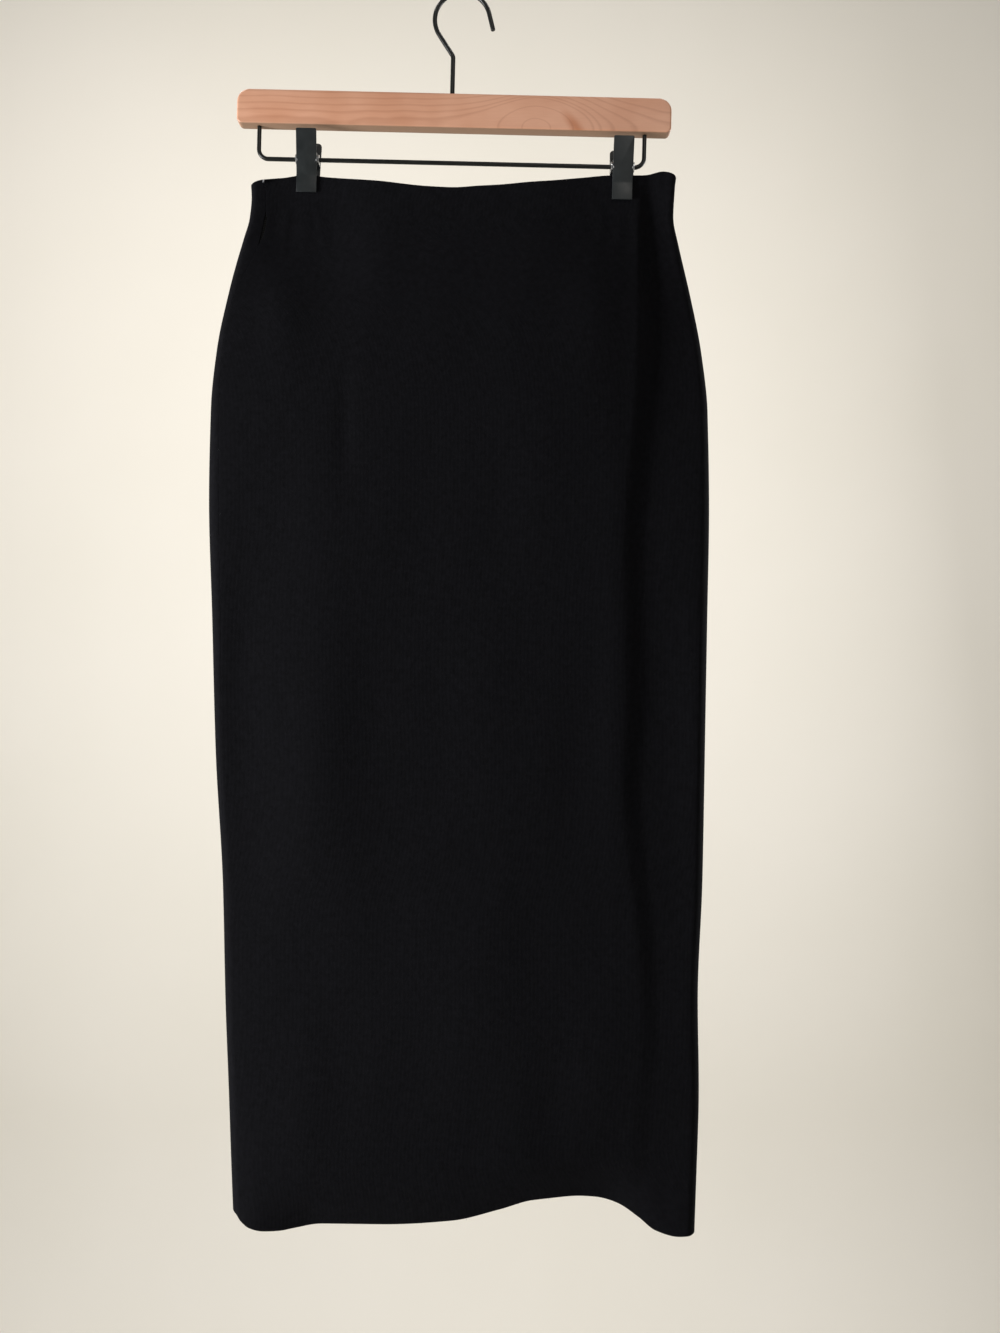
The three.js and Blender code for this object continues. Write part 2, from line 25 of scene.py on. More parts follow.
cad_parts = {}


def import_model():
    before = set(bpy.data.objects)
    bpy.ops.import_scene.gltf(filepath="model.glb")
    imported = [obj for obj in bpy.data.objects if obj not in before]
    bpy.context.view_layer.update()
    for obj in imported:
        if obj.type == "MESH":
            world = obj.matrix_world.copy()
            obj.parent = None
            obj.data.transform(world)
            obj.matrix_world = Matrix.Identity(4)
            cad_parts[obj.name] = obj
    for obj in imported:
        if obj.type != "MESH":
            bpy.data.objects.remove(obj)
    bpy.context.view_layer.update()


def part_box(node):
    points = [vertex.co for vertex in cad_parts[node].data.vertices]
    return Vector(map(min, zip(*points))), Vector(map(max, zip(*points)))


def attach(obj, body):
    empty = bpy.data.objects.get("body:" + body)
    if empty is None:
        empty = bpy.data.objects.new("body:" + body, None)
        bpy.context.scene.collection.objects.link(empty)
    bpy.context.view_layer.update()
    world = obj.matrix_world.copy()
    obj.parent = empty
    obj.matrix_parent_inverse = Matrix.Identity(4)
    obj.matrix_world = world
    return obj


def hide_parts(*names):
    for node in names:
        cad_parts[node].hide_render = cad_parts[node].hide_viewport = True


LOG = logging.getLogger("skirt")
MM = 0.001
# A wave texture of scale 1 repeats after this many metres
WAVE_REPEAT = 0.314
# Edges sharper than this stay sharp on hard pieces
SHARP_FROM = math.radians(35)
# The hanger hangs at this angle, and its wood's grain with it
HANGER_LEAN = math.radians(1.35)
RIGHT, FORWARD, UP = Vector((1, 0, 0)), Vector((0, -1, 0)), Vector((0, 0, 1))

Linear = tuple[float, float, float, float]
Triple = tuple[float, float, float]
Array = np.ndarray


class Slot(Enum):
    """The record's material slots."""

    CLOTH = "cloth"
    ZIP = "zip"
    SLIDER = "slider"
    WOOD = "wood"
    WIRE = "wire"
    CLIP = "clip"
    SPRING = "spring"


class Side(Enum):
    """The two sides of the skirt, with the sign of Y that each faces."""

    FRONT = -1
    BACK = 1


def linear(code: str) -> Linear:
    """Turn an sRGB hex colour into the linear colour that shaders take."""
    parts = [int(code[i : i + 2], 16) / 255 for i in (0, 2, 4)]
    r, g, b = [c / 12.92 if c <= 0.04045 else ((c + 0.055) / 1.055) ** 2.4 for c in parts]
    return (r, g, b, 1.0)


class Shader:
    """A material with one Principled shader, and the nodes that feed it."""

    def __init__(self, name: str) -> None:
        """Start a material that is named for the real stuff."""
        self.material = bpy.data.materials.new(name)
        self.material.use_nodes = True
        self.tree = self.material.node_tree

    def feed(self, socket: NodeSocket, value: Any) -> None:
        """Link an output to a socket, or set the socket's own value."""
        if isinstance(value, NodeSocket):
            self.tree.links.new(value, socket)
        else:
            socket.default_value = value

    def add(self, kind: str, inputs: dict[Any, Any], **settings: Any) -> Node:
        """Add a node.

        Args:
            kind: the node's type name after "ShaderNode".
            inputs: a value, or an output to link, for each named or numbered socket.
            settings: the node's own properties.

        Returns:
            The new node.
        """
        node = self.tree.nodes.new("ShaderNode" + kind)
        for name, value in settings.items():
            setattr(node, name, value)
        for name, value in inputs.items():
            self.feed(node.inputs[name], value)
        return node

    def where(self, kind: str = "Object") -> NodeSocket:
        """Read the coordinates of the point that is shaded."""
        return self.add("TexCoord", {}).outputs[kind]

    def move(
        self, at: NodeSocket, place: Triple, turn: float, size: Triple = (1.0, 1.0, 1.0)
    ) -> NodeSocket:
        """Read coordinates in the frame of a texture at a place, turned about Y, of a size."""
        inputs = {"Vector": at, "Location": place, "Rotation": (0, turn, 0), "Scale": size}
        return self.add("Mapping", inputs, vector_type="TEXTURE").outputs[0]

    def stretch(self, at: NodeSocket, along: float) -> NodeSocket:
        """Draw coordinates out along X, so that a texture runs that way."""
        return self.add("Mapping", {"Vector": at, "Scale": (along, 1.0, 1.0)}).outputs[0]

    def noise(
        self, at: NodeSocket, scale: float, detail: float = 2.0, roughness: float = 0.5
    ) -> NodeSocket:
        """Give cloudy noise round 0.5, its clouds about a metre over the scale wide."""
        inputs = {"Vector": at, "Scale": scale, "Detail": detail, "Roughness": roughness}
        return self.add("TexNoise", inputs).outputs["Fac"]

    def wave(self, at: NodeSocket, bands: str, repeat: float, **shape: float) -> NodeSocket:
        """Give even bands across an axis that come back after a distance."""
        inputs = {name.title().replace("_", " "): value for name, value in shape.items()}
        inputs.update({"Vector": at, "Scale": WAVE_REPEAT / repeat})
        return self.add("TexWave", inputs, bands_direction=bands).outputs["Fac"]

    def calc(self, operation: str, *values: Any, clamp: bool = False) -> NodeSocket:
        """Do one sum on values or outputs."""
        inputs = dict(enumerate(values))
        return self.add("Math", inputs, operation=operation, use_clamp=clamp).outputs[0]

    def length(self, vector: NodeSocket) -> NodeSocket:
        """Measure a vector."""
        return self.add("VectorMath", {0: vector}, operation="LENGTH").outputs["Value"]

    def remap(
        self, value: NodeSocket, source: tuple[float, float] = (0.0, 1.0),
        target: tuple[float, float] = (0.0, 1.0), curve: str = "LINEAR",
    ) -> NodeSocket:
        """Map a value from a source range to a target range, held to its ends."""
        ends = zip(("From Min", "From Max", "To Min", "To Max"), (*source, *target))
        return self.add(
            "MapRange", {"Value": value, **dict(ends)}, interpolation_type=curve
        ).outputs["Result"]

    def ramp(self, value: NodeSocket, *stops: tuple[float, str]) -> NodeSocket:
        """Turn a value into a colour through rising stops, each a place and a hex colour."""
        node = self.add("ValToRGB", {"Fac": value})
        elements = node.color_ramp.elements
        elements.remove(elements[-1])
        elements[0].position, elements[0].color = stops[0][0], linear(stops[0][1])
        for place, colour in stops[1:]:
            elements.new(place).color = linear(colour)
        return node.outputs["Color"]

    def blend(self, mode: str, share: Any, base: NodeSocket, over: Any) -> NodeSocket:
        """Lay one colour over another in a blend mode, by a share from 0 to 1."""
        inputs = {0: share, 6: base, 7: over}
        return self.add("Mix", inputs, data_type="RGBA", blend_type=mode).outputs[2]

    def bump(self, height: NodeSocket, strength: float, depth: float) -> NodeSocket:
        """Bend the normal by a height."""
        inputs = {"Strength": strength, "Distance": depth, "Height": height}
        return self.add("Bump", inputs).outputs["Normal"]

    def finish(self, colour: Any, roughness: Any, normal: Any = None, **more: Any) -> Material:
        """Feed the Principled shader.

        Args:
            colour: its base colour.
            roughness: its roughness.
            normal: its bumped normal, if any.
            more: values of its other sockets, by their names in lower case.

        Returns:
            The finished material.
        """
        inputs = self.tree.nodes["Principled BSDF"].inputs
        self.feed(inputs["Base Color"], colour)
        self.feed(inputs["Roughness"], roughness)
        if normal:
            self.feed(inputs["Normal"], normal)
        for name, value in more.items():
            self.feed(inputs[name.title().replace("_", " ").replace("Ior", "IOR")], value)
        return self.material


@dataclass(frozen=True)
class DoubleKnit:
    """Thick double knit: dense, smooth and almost black, with a soft light at its turns."""

    name: str = "black double knit"
    deep: str = "0b0b0d"
    lit: str = "121215"
    wale: float = 1.1 * MM
    mottle: float = 4.0 * MM
    relief: float = 0.25 * MM

    def make(self) -> Material:
        """Build the knit: fine upright wales, a felted mottle and a faint fibre sheen."""
        knit = Shader(self.name)
        uv = knit.where("UV")
        # Upright wales and the courses across them, drawn coarser than the real half millimetre
        wales = knit.wave(uv, "X", self.wale, distortion=1.2, detail=1.0, detail_scale=1.5)
        courses = knit.wave(uv, "Y", self.wale, distortion=1.0, detail=1.0)
        # The felted look of brushed yarn, in flecks a few stitches across
        flecks = knit.noise(knit.where(), 1 / self.mottle, 6.0, 0.72)
        tone = knit.ramp(flecks, (0.32, self.deep), (0.72, self.lit))
        yarn = knit.calc("MULTIPLY_ADD", courses, 0.35, wales)
        height = knit.calc("MULTIPLY_ADD", flecks, 1.6, yarn)
        # Loose fibre ends catch light that grazes the folds, which the sheen gives
        return knit.finish(
            tone, 0.88, knit.bump(height, 0.35, self.relief), specular_ior_level=0.03,
            sheen_weight=0.012, sheen_roughness=0.45, sheen_tint=linear("8a8c96"),
        )


@dataclass(frozen=True)
class WovenTape:
    """Zip tape: flat black polyester in a fine herringbone."""

    name: str = "black zip tape"
    shade: str = "060607"
    colour: str = "0d0d0f"
    thread: float = 0.9 * MM

    def make(self) -> Material:
        """Build the tape: slanting threads that shine a little more than the knit."""
        tape = Shader(self.name)
        threads = tape.wave(tape.where(), "DIAGONAL", self.thread, distortion=0.4)
        tone = tape.ramp(threads, (0.0, self.shade), (1.0, self.colour))
        bump = tape.bump(threads, 0.5, 0.15 * MM)
        return tape.finish(tone, 0.62, bump, specular_ior_level=0.35)


@dataclass(frozen=True)
class PaintedSteel:
    """Painted or lacquered steel: a dark coat that is thinner and duller in patches."""

    name: str
    colour: str
    worn: str
    roughness: float
    shine: float
    patch: float = 9.0 * MM
    grain: float = 0.35 * MM

    def make(self) -> Material:
        """Build the paint: a cloudy tone and gloss over a fine orange-peel bump."""
        coat = Shader(self.name)
        place = coat.where()
        clouds = coat.noise(place, 1 / self.patch, 4.0, 0.6)
        tone = coat.ramp(clouds, (0.35, self.colour), (0.75, self.worn))
        gloss = coat.remap(clouds, (0.3, 0.7), (self.roughness - 0.06, self.roughness + 0.08))
        bump = coat.bump(coat.noise(place, 1 / self.grain), 0.18, 0.06 * MM)
        return coat.finish(tone, gloss, bump, specular_ior_level=self.shine)


@dataclass(frozen=True)
class BareSteel:
    """Bare or plated steel, drawn or stamped, with fine scratches along it."""

    name: str
    colour: str
    roughness: float
    scratch: float = 0.5 * MM

    def make(self) -> Material:
        """Build the metal: full metal reflection broken by fine drawn lines."""
        metal = Shader(self.name)
        lines = metal.noise(metal.stretch(metal.where(), 0.12), 1 / self.scratch, 3.0)
        gloss = metal.remap(lines, target=(self.roughness - 0.08, self.roughness + 0.12))
        bump = metal.bump(lines, 0.2, 0.05 * MM)
        return metal.finish(linear(self.colour), gloss, bump, metallic=1.0)


@dataclass(frozen=True)
class BeechBoard:
    """Pale pinkish wood, cut tangent to its growth rings, so its year rings show as lines that
    ring a low eye.

    The rings are given in millimetres from the eye. To each side of it they run out flat, over
    a distance and to a height.
    """

    name: str = "varnished pale wood"
    early: str = "d0a48b"
    late: str = "ac7f64"
    blush: tuple[str, str] = ("fff4ec", "f0dccc")
    # A darker, greyer brown that is painted shade on the faces that point down
    underside_painted_shade: str = "876a53"
    eye: Triple = (60 * MM, -5.5 * MM, -114.5 * MM)
    rings: tuple[float, ...] = (8.0, 18.3, 25.4, 27.4, 30.0, 33.3, 36.6, 39.6)
    reach: float = 44.0
    left_run: tuple[float, float] = (33.0, 25.0)
    right_run: tuple[float, float] = (58.0, 37.0)
    # How far the rings wander, which the noise gives about its half
    wander: float = 3.2
    # A tan streak that leans across the rings right of the eye
    streak: Triple = (93 * MM, -5.5 * MM, -112 * MM)
    streak_size: Triple = (7 * MM, 20 * MM, 21 * MM)
    streak_lean: float = math.radians(-38)
    streak_tone: str = "e3c4a4"

    def run_out(
        self, wood: Shader, along: NodeSocket, side: str, run: tuple[float, float]
    ) -> NodeSocket:
        """Bend the rings on one side of the eye from round to flat.

        Args:
            wood: the wood's nodes.
            along: the distance along the board from the eye.
            side: MINIMUM for the left of the eye, MAXIMUM for its right.
            run: the distance over which they flatten, and the height that they come to.

        Returns:
            The bent distance, which is 0 on the eye's other side.
        """
        share = wood.calc("DIVIDE", wood.calc(side, along, 0.0), run[0] * MM)
        return wood.calc("MULTIPLY", wood.calc("TANH", share), run[1] * MM)

    def ring_lines(self, wood: Shader, level: NodeSocket) -> NodeSocket:
        """Draw the year rings, each darkening slowly outwards and ending sharply.

        Args:
            wood: the wood's nodes.
            level: the place from the eye, along the board.

        Returns:
            How late in its year the wood is, from 0 to 1.
        """
        axes = wood.add("SeparateXYZ", {0: level}).outputs
        left = self.run_out(wood, axes["X"], "MINIMUM", self.left_run)
        right = self.run_out(wood, axes["X"], "MAXIMUM", self.right_run)
        bent = {"X": wood.calc("ADD", left, right), "Y": axes["Y"], "Z": axes["Z"]}
        radius = wood.length(wood.add("CombineXYZ", bent).outputs[0])
        wobble = wood.noise(level, 15.0)
        shaken = wood.calc("MULTIPLY_ADD", wobble, self.wander * MM, radius)
        centre = self.wander / 2
        age = wood.remap(shaken, (centre * MM, (self.reach + centre) * MM))
        steps = ((-0.8, "000000"), (0.0, "ffffff"), (0.4, "000000"))
        stops = [((ring + at) / self.reach, tone) for ring in self.rings for at, tone in steps]
        return wood.ramp(age, (0.0, "000000"), *stops)

    def make(self) -> Material:
        """Build the wood: ring lines round the eye, flecks along the grain and a thin varnish."""
        wood = Shader(self.name)
        place = wood.where()
        level = wood.move(place, self.eye, HANGER_LEAN)
        fibres = wood.noise(wood.stretch(level, 0.05), 900.0, 5.0, 0.65)
        flecks = wood.calc("MULTIPLY_ADD", fibres, 0.45, -0.1, clamp=True)
        dark = wood.calc("MULTIPLY_ADD", self.ring_lines(wood, level), 0.42, flecks, clamp=True)
        tone = wood.ramp(dark, (0.0, self.early), (1.0, self.late))
        warmth = wood.ramp(wood.noise(level, 22.0), (0.3, self.blush[0]), (0.7, self.blush[1]))
        varnished = wood.blend("MULTIPLY", 1.0, tone, warmth)
        off = wood.move(place, self.streak, self.streak_lean, self.streak_size)
        near = wood.remap(wood.length(off), (1.0, 0.0), curve="SMOOTHSTEP")
        streaked = wood.blend("MULTIPLY", near, varnished, linear(self.streak_tone))
        # Faces that point down get painted shade, a darker and greyer colour, and a duller,
        # rougher finish
        facing = wood.add("SeparateXYZ", {0: wood.where("Normal")}).outputs["Z"]
        under = wood.remap(facing, (-0.45, -0.9))
        colour = wood.blend("MIX", under, streaked, linear(self.underside_painted_shade))
        gloss = wood.remap(under, target=(0.5, 0.85))
        bump = wood.bump(fibres, 0.15, 0.1 * MM)
        return wood.finish(colour, gloss, bump, coat_weight=0.2, coat_roughness=0.35)


@dataclass(frozen=True)
class LooseFibre:
    """Short fibre ends and specks of lint, paler than the cloth."""

    name: str = "loose knit fibre"
    root: str = "1c1c20"
    tip: str = "8a8a90"

    def make(self) -> Material:
        """Build the fibre: matt, with a slow change of tone along it."""
        fibre = Shader(self.name)
        fade = fibre.noise(fibre.where(), 700.0)
        return fibre.finish(fibre.ramp(fade, (0.2, self.root), (0.8, self.tip)), 0.8)


@dataclass(frozen=True)
class StudioPaper:
    """The pale paper of the floor and backdrop."""

    name: str = "pale studio paper"
    colour: str = "e6e2d9"
    drift: str = "e3dfd5"

    def make(self) -> Material:
        """Build the paper: one pale tone with a broad, faint unevenness."""
        paper = Shader(self.name)
        clouds = paper.noise(paper.where(), 1.3, 3.0)
        tone = paper.ramp(clouds, (0.3, self.colour), (0.7, self.drift))
        return paper.finish(tone, 0.95, specular_ior_level=0.1)


def show_piece(
    name: str, mesh: Mesh, material: Material, nodes: Sequence[str] = (),
    sharp_from: float | None = SHARP_FROM,
) -> Object:
    """Show a finished mesh as a piece that rides on the one body of this object.

    Args:
        name: the piece's name.
        mesh: the finished mesh, already in its place.
        material: the piece's material.
        nodes: the CAD nodes that the piece stands for.
        sharp_from: the angle from which edges are sharp, or None where none is.

    Returns:
        The piece's object.
    """
    mesh.name = name
    mesh.materials.append(material)
    piece = bpy.data.objects.new(name, mesh)
    bpy.context.scene.collection.objects.link(piece)
    mesh.shade_smooth()
    if sharp_from is not None:
        mesh.set_sharp_from_angle(angle=sharp_from)
    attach(piece, "root")
    if nodes:
        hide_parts(*nodes)
    LOG.info("%s: %d faces", name, len(mesh.polygons))
    return piece


def mesh_of(shape: BMesh, recalculate: bool = True) -> Mesh:
    """Close a bmesh into a mesh and free it, its faces turned outwards if asked."""
    if recalculate:
        bmesh.ops.recalc_face_normals(shape, faces=shape.faces)
    mesh = bpy.data.meshes.new("shape")
    shape.to_mesh(mesh)
    shape.free()
    return mesh


def only(kind: type, parts: Iterable[Any]) -> list[Any]:
    """Keep the parts of one kind."""
    return [part for part in parts if isinstance(part, kind)]


def once(parts: Iterable[Any]) -> list[Any]:
    """Keep each part once, in order, so that every run gives the same mesh."""
    return list(dict.fromkeys(parts))


def edges_of(verts: Iterable[BMVert]) -> list[BMEdge]:
    """List the edges that end at any of these vertices."""
    return once(edge for vert in verts for edge in vert.link_edges)


def turn_to(heading: Vector, start: Vector = UP) -> Matrix:
    """Turn from one direction, up unless told otherwise, to a heading."""
    return start.rotation_difference(heading.normalized()).to_matrix().to_4x4()


def round_edges(
    shape: BMesh, edges: Iterable[BMEdge], radius: float, segments: int
) -> list[BMFace]:
    """Round edges off to a radius, and list the faces of the rounding."""
    return bmesh.ops.bevel(
        shape, geom=list(edges), offset=radius, segments=segments, profile=0.5,
        affect="EDGES", material=-1, clamp_overlap=True,
    )["faces"]


def add_block(
    shape: BMesh, size: Vector, centre: Vector, rounding: float, segments: int = 2
) -> list[BMVert]:
    """Add a block with rounded edges.

    Args:
        shape: the bmesh that takes the block.
        size: its length along X, Y and Z.
        centre: its middle.
        rounding: the radius of its edges.
        segments: how many faces each rounded edge has.

    Returns:
        The block's vertices.
    """
    made = bmesh.ops.create_cube(shape, size=1.0)["verts"]
    bmesh.ops.scale(shape, verts=made, vec=size)
    bmesh.ops.translate(shape, verts=made, vec=centre)
    faces = round_edges(shape, edges_of(made), rounding, segments)
    return once([v for f in faces for v in f.verts] + [v for v in made if v.is_valid])


def add_board(
    shape: BMesh, size: Triple, corners: dict[int, float], steps: int, easing: float, rim: int
) -> None:
    """Add an upright board round the origin, with rounded corners and eased rims.

    Args:
        shape: the empty bmesh that takes the board.
        size: its length along X, Y and Z.
        corners: the radius of its corners at the top (1) and the bottom (-1).
        steps: how many faces each corner has.
        easing: how far its rims are eased.
        rim: how many faces each rim has.
    """
    def depth(edge: BMEdge) -> float:
        """Say how far an edge runs from front to back."""
        return abs((edge.verts[0].co - edge.verts[1].co).y)

    made = bmesh.ops.create_cube(shape, size=1.0)["verts"]
    bmesh.ops.scale(shape, verts=made, vec=size)
    for end, radius in corners.items():
        level = 0.499 * size[2]
        found = [e for e in shape.edges
                 if depth(e) > 0.1 * MM and end * e.verts[0].co.z > level]
        round_edges(shape, found, radius, steps)
    round_edges(shape, [e for e in shape.edges if depth(e) < 0.01 * MM], easing, rim)


class Outline:
    """Open edges that are drawn on through straights and bends, as a wire bender does."""

    def __init__(self, shape: BMesh, edges: list[BMEdge], at: Vector, heading: Vector) -> None:
        """Start from edges of a shape, at a place and with a heading."""
        self.shape, self.first, self.last = shape, edges, edges
        self.at, self.heading = at.copy(), heading.normalized()

    @classmethod
    def wire(cls, start: Vector, heading: Vector, radius: float, sides: int = 16) -> Outline:
        """Cut the first end of a round wire square at a start."""
        shape = bmesh.new()
        ring = bmesh.ops.create_circle(
            shape, cap_ends=False, segments=sides, radius=radius
        )["verts"]
        matrix = Matrix.Translation(start) @ turn_to(heading)
        bmesh.ops.transform(shape, matrix=matrix, verts=ring)
        return cls(shape, edges_of(ring), start, heading)

    def straight(self, length: float) -> Outline:
        """Draw straight on by a length."""
        made = bmesh.ops.extrude_edge_only(self.shape, edges=self.last)["geom"]
        moved, step = only(BMVert, made), self.heading * length
        bmesh.ops.translate(self.shape, verts=moved, vec=step)
        self.last = [e for e in only(BMEdge, made) if all(v in moved for v in e.verts)]
        self.at += step
        return self

    def bend(
        self, centre: Vector, axis: Vector, angle: float, steps: int, pitch: float = 0.0
    ) -> Outline:
        """Draw on round a bend.

        Args:
            centre: the bend's centre.
            axis: the axis that it turns about.
            angle: how far it turns, in radians.
            steps: how many straights stand in for the arc.
            pitch: how far it moves along the axis over the whole bend.

        Returns:
            This outline.
        """
        made = bmesh.ops.spin(
            self.shape, geom=self.last, cent=centre, axis=axis, dvec=axis * (pitch / steps),
            angle=angle, steps=steps, use_merge=False, use_normal_flip=False,
            use_duplicate=False,
        )["geom_last"]
        self.last = only(BMEdge, made)
        turn = Matrix.Rotation(angle, 3, axis)
        self.at = centre + turn @ (self.at - centre) + axis * pitch
        self.heading = turn @ self.heading
        return self

    def close(self, rounding: float = 0.0) -> Mesh:
        """Close both ends and round them off."""
        for ring in (self.first, self.last):
            cap = bmesh.ops.edgeloop_fill(self.shape, edges=ring)["faces"]
            if rounding > 0:
                round_edges(self.shape, cap[0].edges, rounding, 3)
        bmesh.ops.remove_doubles(self.shape, verts=self.shape.verts, dist=0.01 * MM)
        return mesh_of(self.shape)


class Level(NamedTuple):
    """The flat skirt at a height: its folds, their radius, how far each side stands off."""

    z: float
    left: float
    right: float
    fold: float
    front: float
    back: float


class Edge(NamedTuple):
    """A point of the waist or hem edge."""

    x: float
    z: float


class SeamPoint(NamedTuple):
    """How far the left seam lies in from the left fold, and how wide it gapes."""

    z: float
    inset: float
    gape: float


class TroughPoint(NamedTuple):
    """Where the right side steps back, how far, how wide its bank is, and how far it lasts."""

    z: float
    x: float
    depth: float
    bank: float
    lasts: float


class Grip(NamedTuple):
    """A clip's place, and how far its hold on the cloth fades to either side."""

    x: float
    left: float
    right: float


class Swing(NamedTuple):
    """How far the hem swings forwards (negative) or back."""

    x: float
    y: float


class Crease(NamedTuple):
    """A soft upright ridge, or a crease where its height is negative."""

    x: float
    top: float
    bottom: float
    width: float
    height: float
    slant: float = 0.0


class Band(NamedTuple):
    """A stretch of mesh that ends at a place and has a number of steps."""

    to: float
    count: int


def table(row: type, *rows: tuple[float, ...]) -> tuple[Any, ...]:
    """Name the columns of plain rows."""
    return tuple(row(*values) for values in rows)


class Profile:
    """A smooth curve through the points of a table, whose keys rise."""

    def __init__(self, keys: Array, values: Array) -> None:
        """Keep the points and work out the slope at each."""
        self.keys, self.values = keys, values
        slopes = np.diff(values) / np.diff(keys)
        a, b = slopes[:-1], slopes[1:]
        turning = a * b <= 0
        inner = np.where(turning, 0.0, 2 * a * b / np.where(turning, 1.0, a + b))
        self.tangents = np.concatenate([slopes[:1], inner, slopes[-1:]])

    def at(self, key: Array | float) -> Array:
        """Read the curve at some places, which are held to the table's ends."""
        k = np.clip(key, self.keys[0], self.keys[-1])
        i = np.clip(np.searchsorted(self.keys, k, side="right") - 1, 0, len(self.keys) - 2)
        h = self.keys[i + 1] - self.keys[i]
        t = (k - self.keys[i]) / h
        return (
            (1 + 2 * t) * (1 - t) ** 2 * self.values[i]
            + t * (1 - t) ** 2 * h * self.tangents[i]
            + t * t * (3 - 2 * t) * self.values[i + 1]
            + t * t * (t - 1) * h * self.tangents[i + 1]
        )


def curves(rows: Sequence[Any]) -> list[Profile]:
    """Draw a curve for each column of a table, over its first one."""
    keys, *columns = np.array(sorted(rows), float).T
    return [Profile(keys, values) for values in columns]


def ease(value: Array | float, start: float, end: Array | float) -> Array:
    """Step smoothly from 0 at start to 1 at end, which may lie on either side of it."""
    t = np.clip((value - start) / (end - start), 0.0, 1.0)
    return t * t * (3 - 2 * t)


def bell(distance: Array, width: Array | float) -> Array:
    """Give a rounded bump of height 1 and a half width."""
    return np.exp(-((distance / width) ** 2))


def spread(start: float, bands: Sequence[Band]) -> Array:
    """Space stops evenly from a start through each band to its end."""
    stops = [np.array([start])]
    for band in bands:
        stops.append(np.linspace(stops[-1][-1], band.to, band.count + 1)[1:])
    return np.concatenate(stops)


@dataclass
class SkirtForm:
    """The shape that both panels share: a flat tube with two rounded side folds."""

    wall: float = 1.8
    waist_z: float = -155.0
    hem_z: float = -1018.0
    rim_reach: float = 70.0
    arc_start: float = 0.86
    swing_top: float = -880.0
    # Near the right clip the cloth turns away well before the long fold, and creases in it
    shoulder: float = 0.48
    shoulder_reach: tuple[float, float] = (-52.0, -2.0)
    cleft: float = 0.3
    cleft_width: float = 5.5
    clip_fold: tuple[float, float] = (-420.0, -320.0)
    grips: tuple[Grip, ...] = (Grip(-130.5, 62, 70), Grip(132.6, 80, 75))
    grip_half: float = 11.0
    pinch_depth: float = 1.95
    pinch_fade: tuple[float, float] = (-174.0, -285.0)
    # The gathers start just below the jaws, where the cloth is free to stand up again
    gathers_from: tuple[float, float] = (-172.0, -186.0)
    levels: tuple[Level, ...] = table(
        Level, (-148, -177.5, 179.4, 5.6, 5.4, 5.8), (-165, -176.6, 177.6, 5.8, 5.9, 6.2),
        (-184, -178.2, 177.2, 6.2, 6.8, 7.0), (-204, -183.2, 181.8, 6.8, 8.0, 7.8),
        (-246, -194.5, 191.9, 7.6, 11.0, 9.4), (-297, -205.3, 201.5, 8.2, 14.4, 11.0),
        (-347, -210.4, 206.1, 8.6, 16.6, 12.0), (-423, -211.9, 206.4, 9.0, 17.4, 12.6),
        (-523, -209.0, 204.6, 9.0, 17.4, 12.6), (-632, -206.2, 202.5, 9.0, 17.2, 12.6),
        (-741, -200.4, 200.4, 9.0, 16.8, 12.4), (-841, -198.2, 196.4, 8.8, 16.0, 12.0),
        (-924, -195.0, 197.4, 8.6, 15.0, 11.4), (-1030, -190.8, 194.2, 8.4, 13.6, 10.8),
    )
    waist_edge: tuple[Edge, ...] = table(
        Edge, (-177, -160.2), (-168, -156.6), (-160, -155.4), (-150, -154.2), (-131, -151.6),
        (-114.5, -153.4), (-94.5, -155.5), (-70, -157.9), (-30, -162.4), (-6, -163.4),
        (11, -162.3), (31, -161.1), (52, -159.1), (73, -157.6), (100, -154.3),
        (123, -151.8), (148, -151.5), (156, -150.3), (167, -148.2), (176, -150.4),
        (181, -155.5),
    )
    hem_edge: tuple[Edge, ...] = table(
        Edge, (-192, -1011.5), (-187, -1012.8), (-182, -1018.0), (-175, -1022.6),
        (-163, -1025.3), (-150, -1025.9), (-139, -1024.8), (-116, -1022.1), (-60, -1023.5),
        (-10, -1021.5), (31, -1012.9), (59, -1005.8), (90, -1004.4), (110, -1006.2),
        (130, -1012.2), (147, -1023.0), (161, -1033.0), (180, -1037.2), (193, -1036.4),
    )
    left_seam: tuple[SeamPoint, ...] = table(
        SeamPoint, (-150, 11.0, 0.9), (-156.5, 11.5, 0.4), (-159, 11.8, 0.06),
        (-182, 14.0, 0.15), (-190, 15.0, 2.6), (-203, 16.2, 2.2), (-213, 15.4, 0.1),
        (-272, 6.5, 0.04), (-345, 9.9, 0.04), (-423, 11.4, 0.04), (-560, 10.0, 0.04),
        (-724, 5.0, 0.04), (-760, 6.5, 0.04), (-915, 4.2, 0.04), (-1030, 4.4, 0.04),
    )
    right_seam_inset: float = 12.0
    seam_gap: float = 0.05
    trough: tuple[TroughPoint, ...] = table(
        TroughPoint, (-150, 152, 1.0, 4.5, 400), (-165, 152, 2.2, 4.5, 400),
        (-180, 154, 5.0, 8.0, 320), (-205, 154.5, 7.6, 10.0, 220), (-240, 155, 9.0, 11.0, 160),
        (-272, 155, 9.0, 11.5, 140), (-314, 154, 8.0, 12.0, 120), (-355, 151, 7.0, 12.0, 100),
        (-405, 145, 6.0, 11.5, 90), (-464, 141, 5.0, 11.0, 90), (-590, 143, 4.3, 11.0, 90),
        (-657, 139, 3.7, 10.0, 90), (-724, 144, 3.4, 10.0, 90), (-791, 151, 2.9, 9.5, 80),
        (-858, 154, 2.0, 9.5, 70), (-925, 150, 1.4, 10, 60), (-1000, 142, 1.0, 10, 50),
        (-1030, 140, 0.6, 10, 50),
    )
    hem_swing: tuple[Swing, ...] = table(
        Swing, (-196, -2), (-165, -6), (-110, -5), (-40, -2), (50, 0.8), (136, 8.6),
        (166, 8.2), (196, 6),
    )
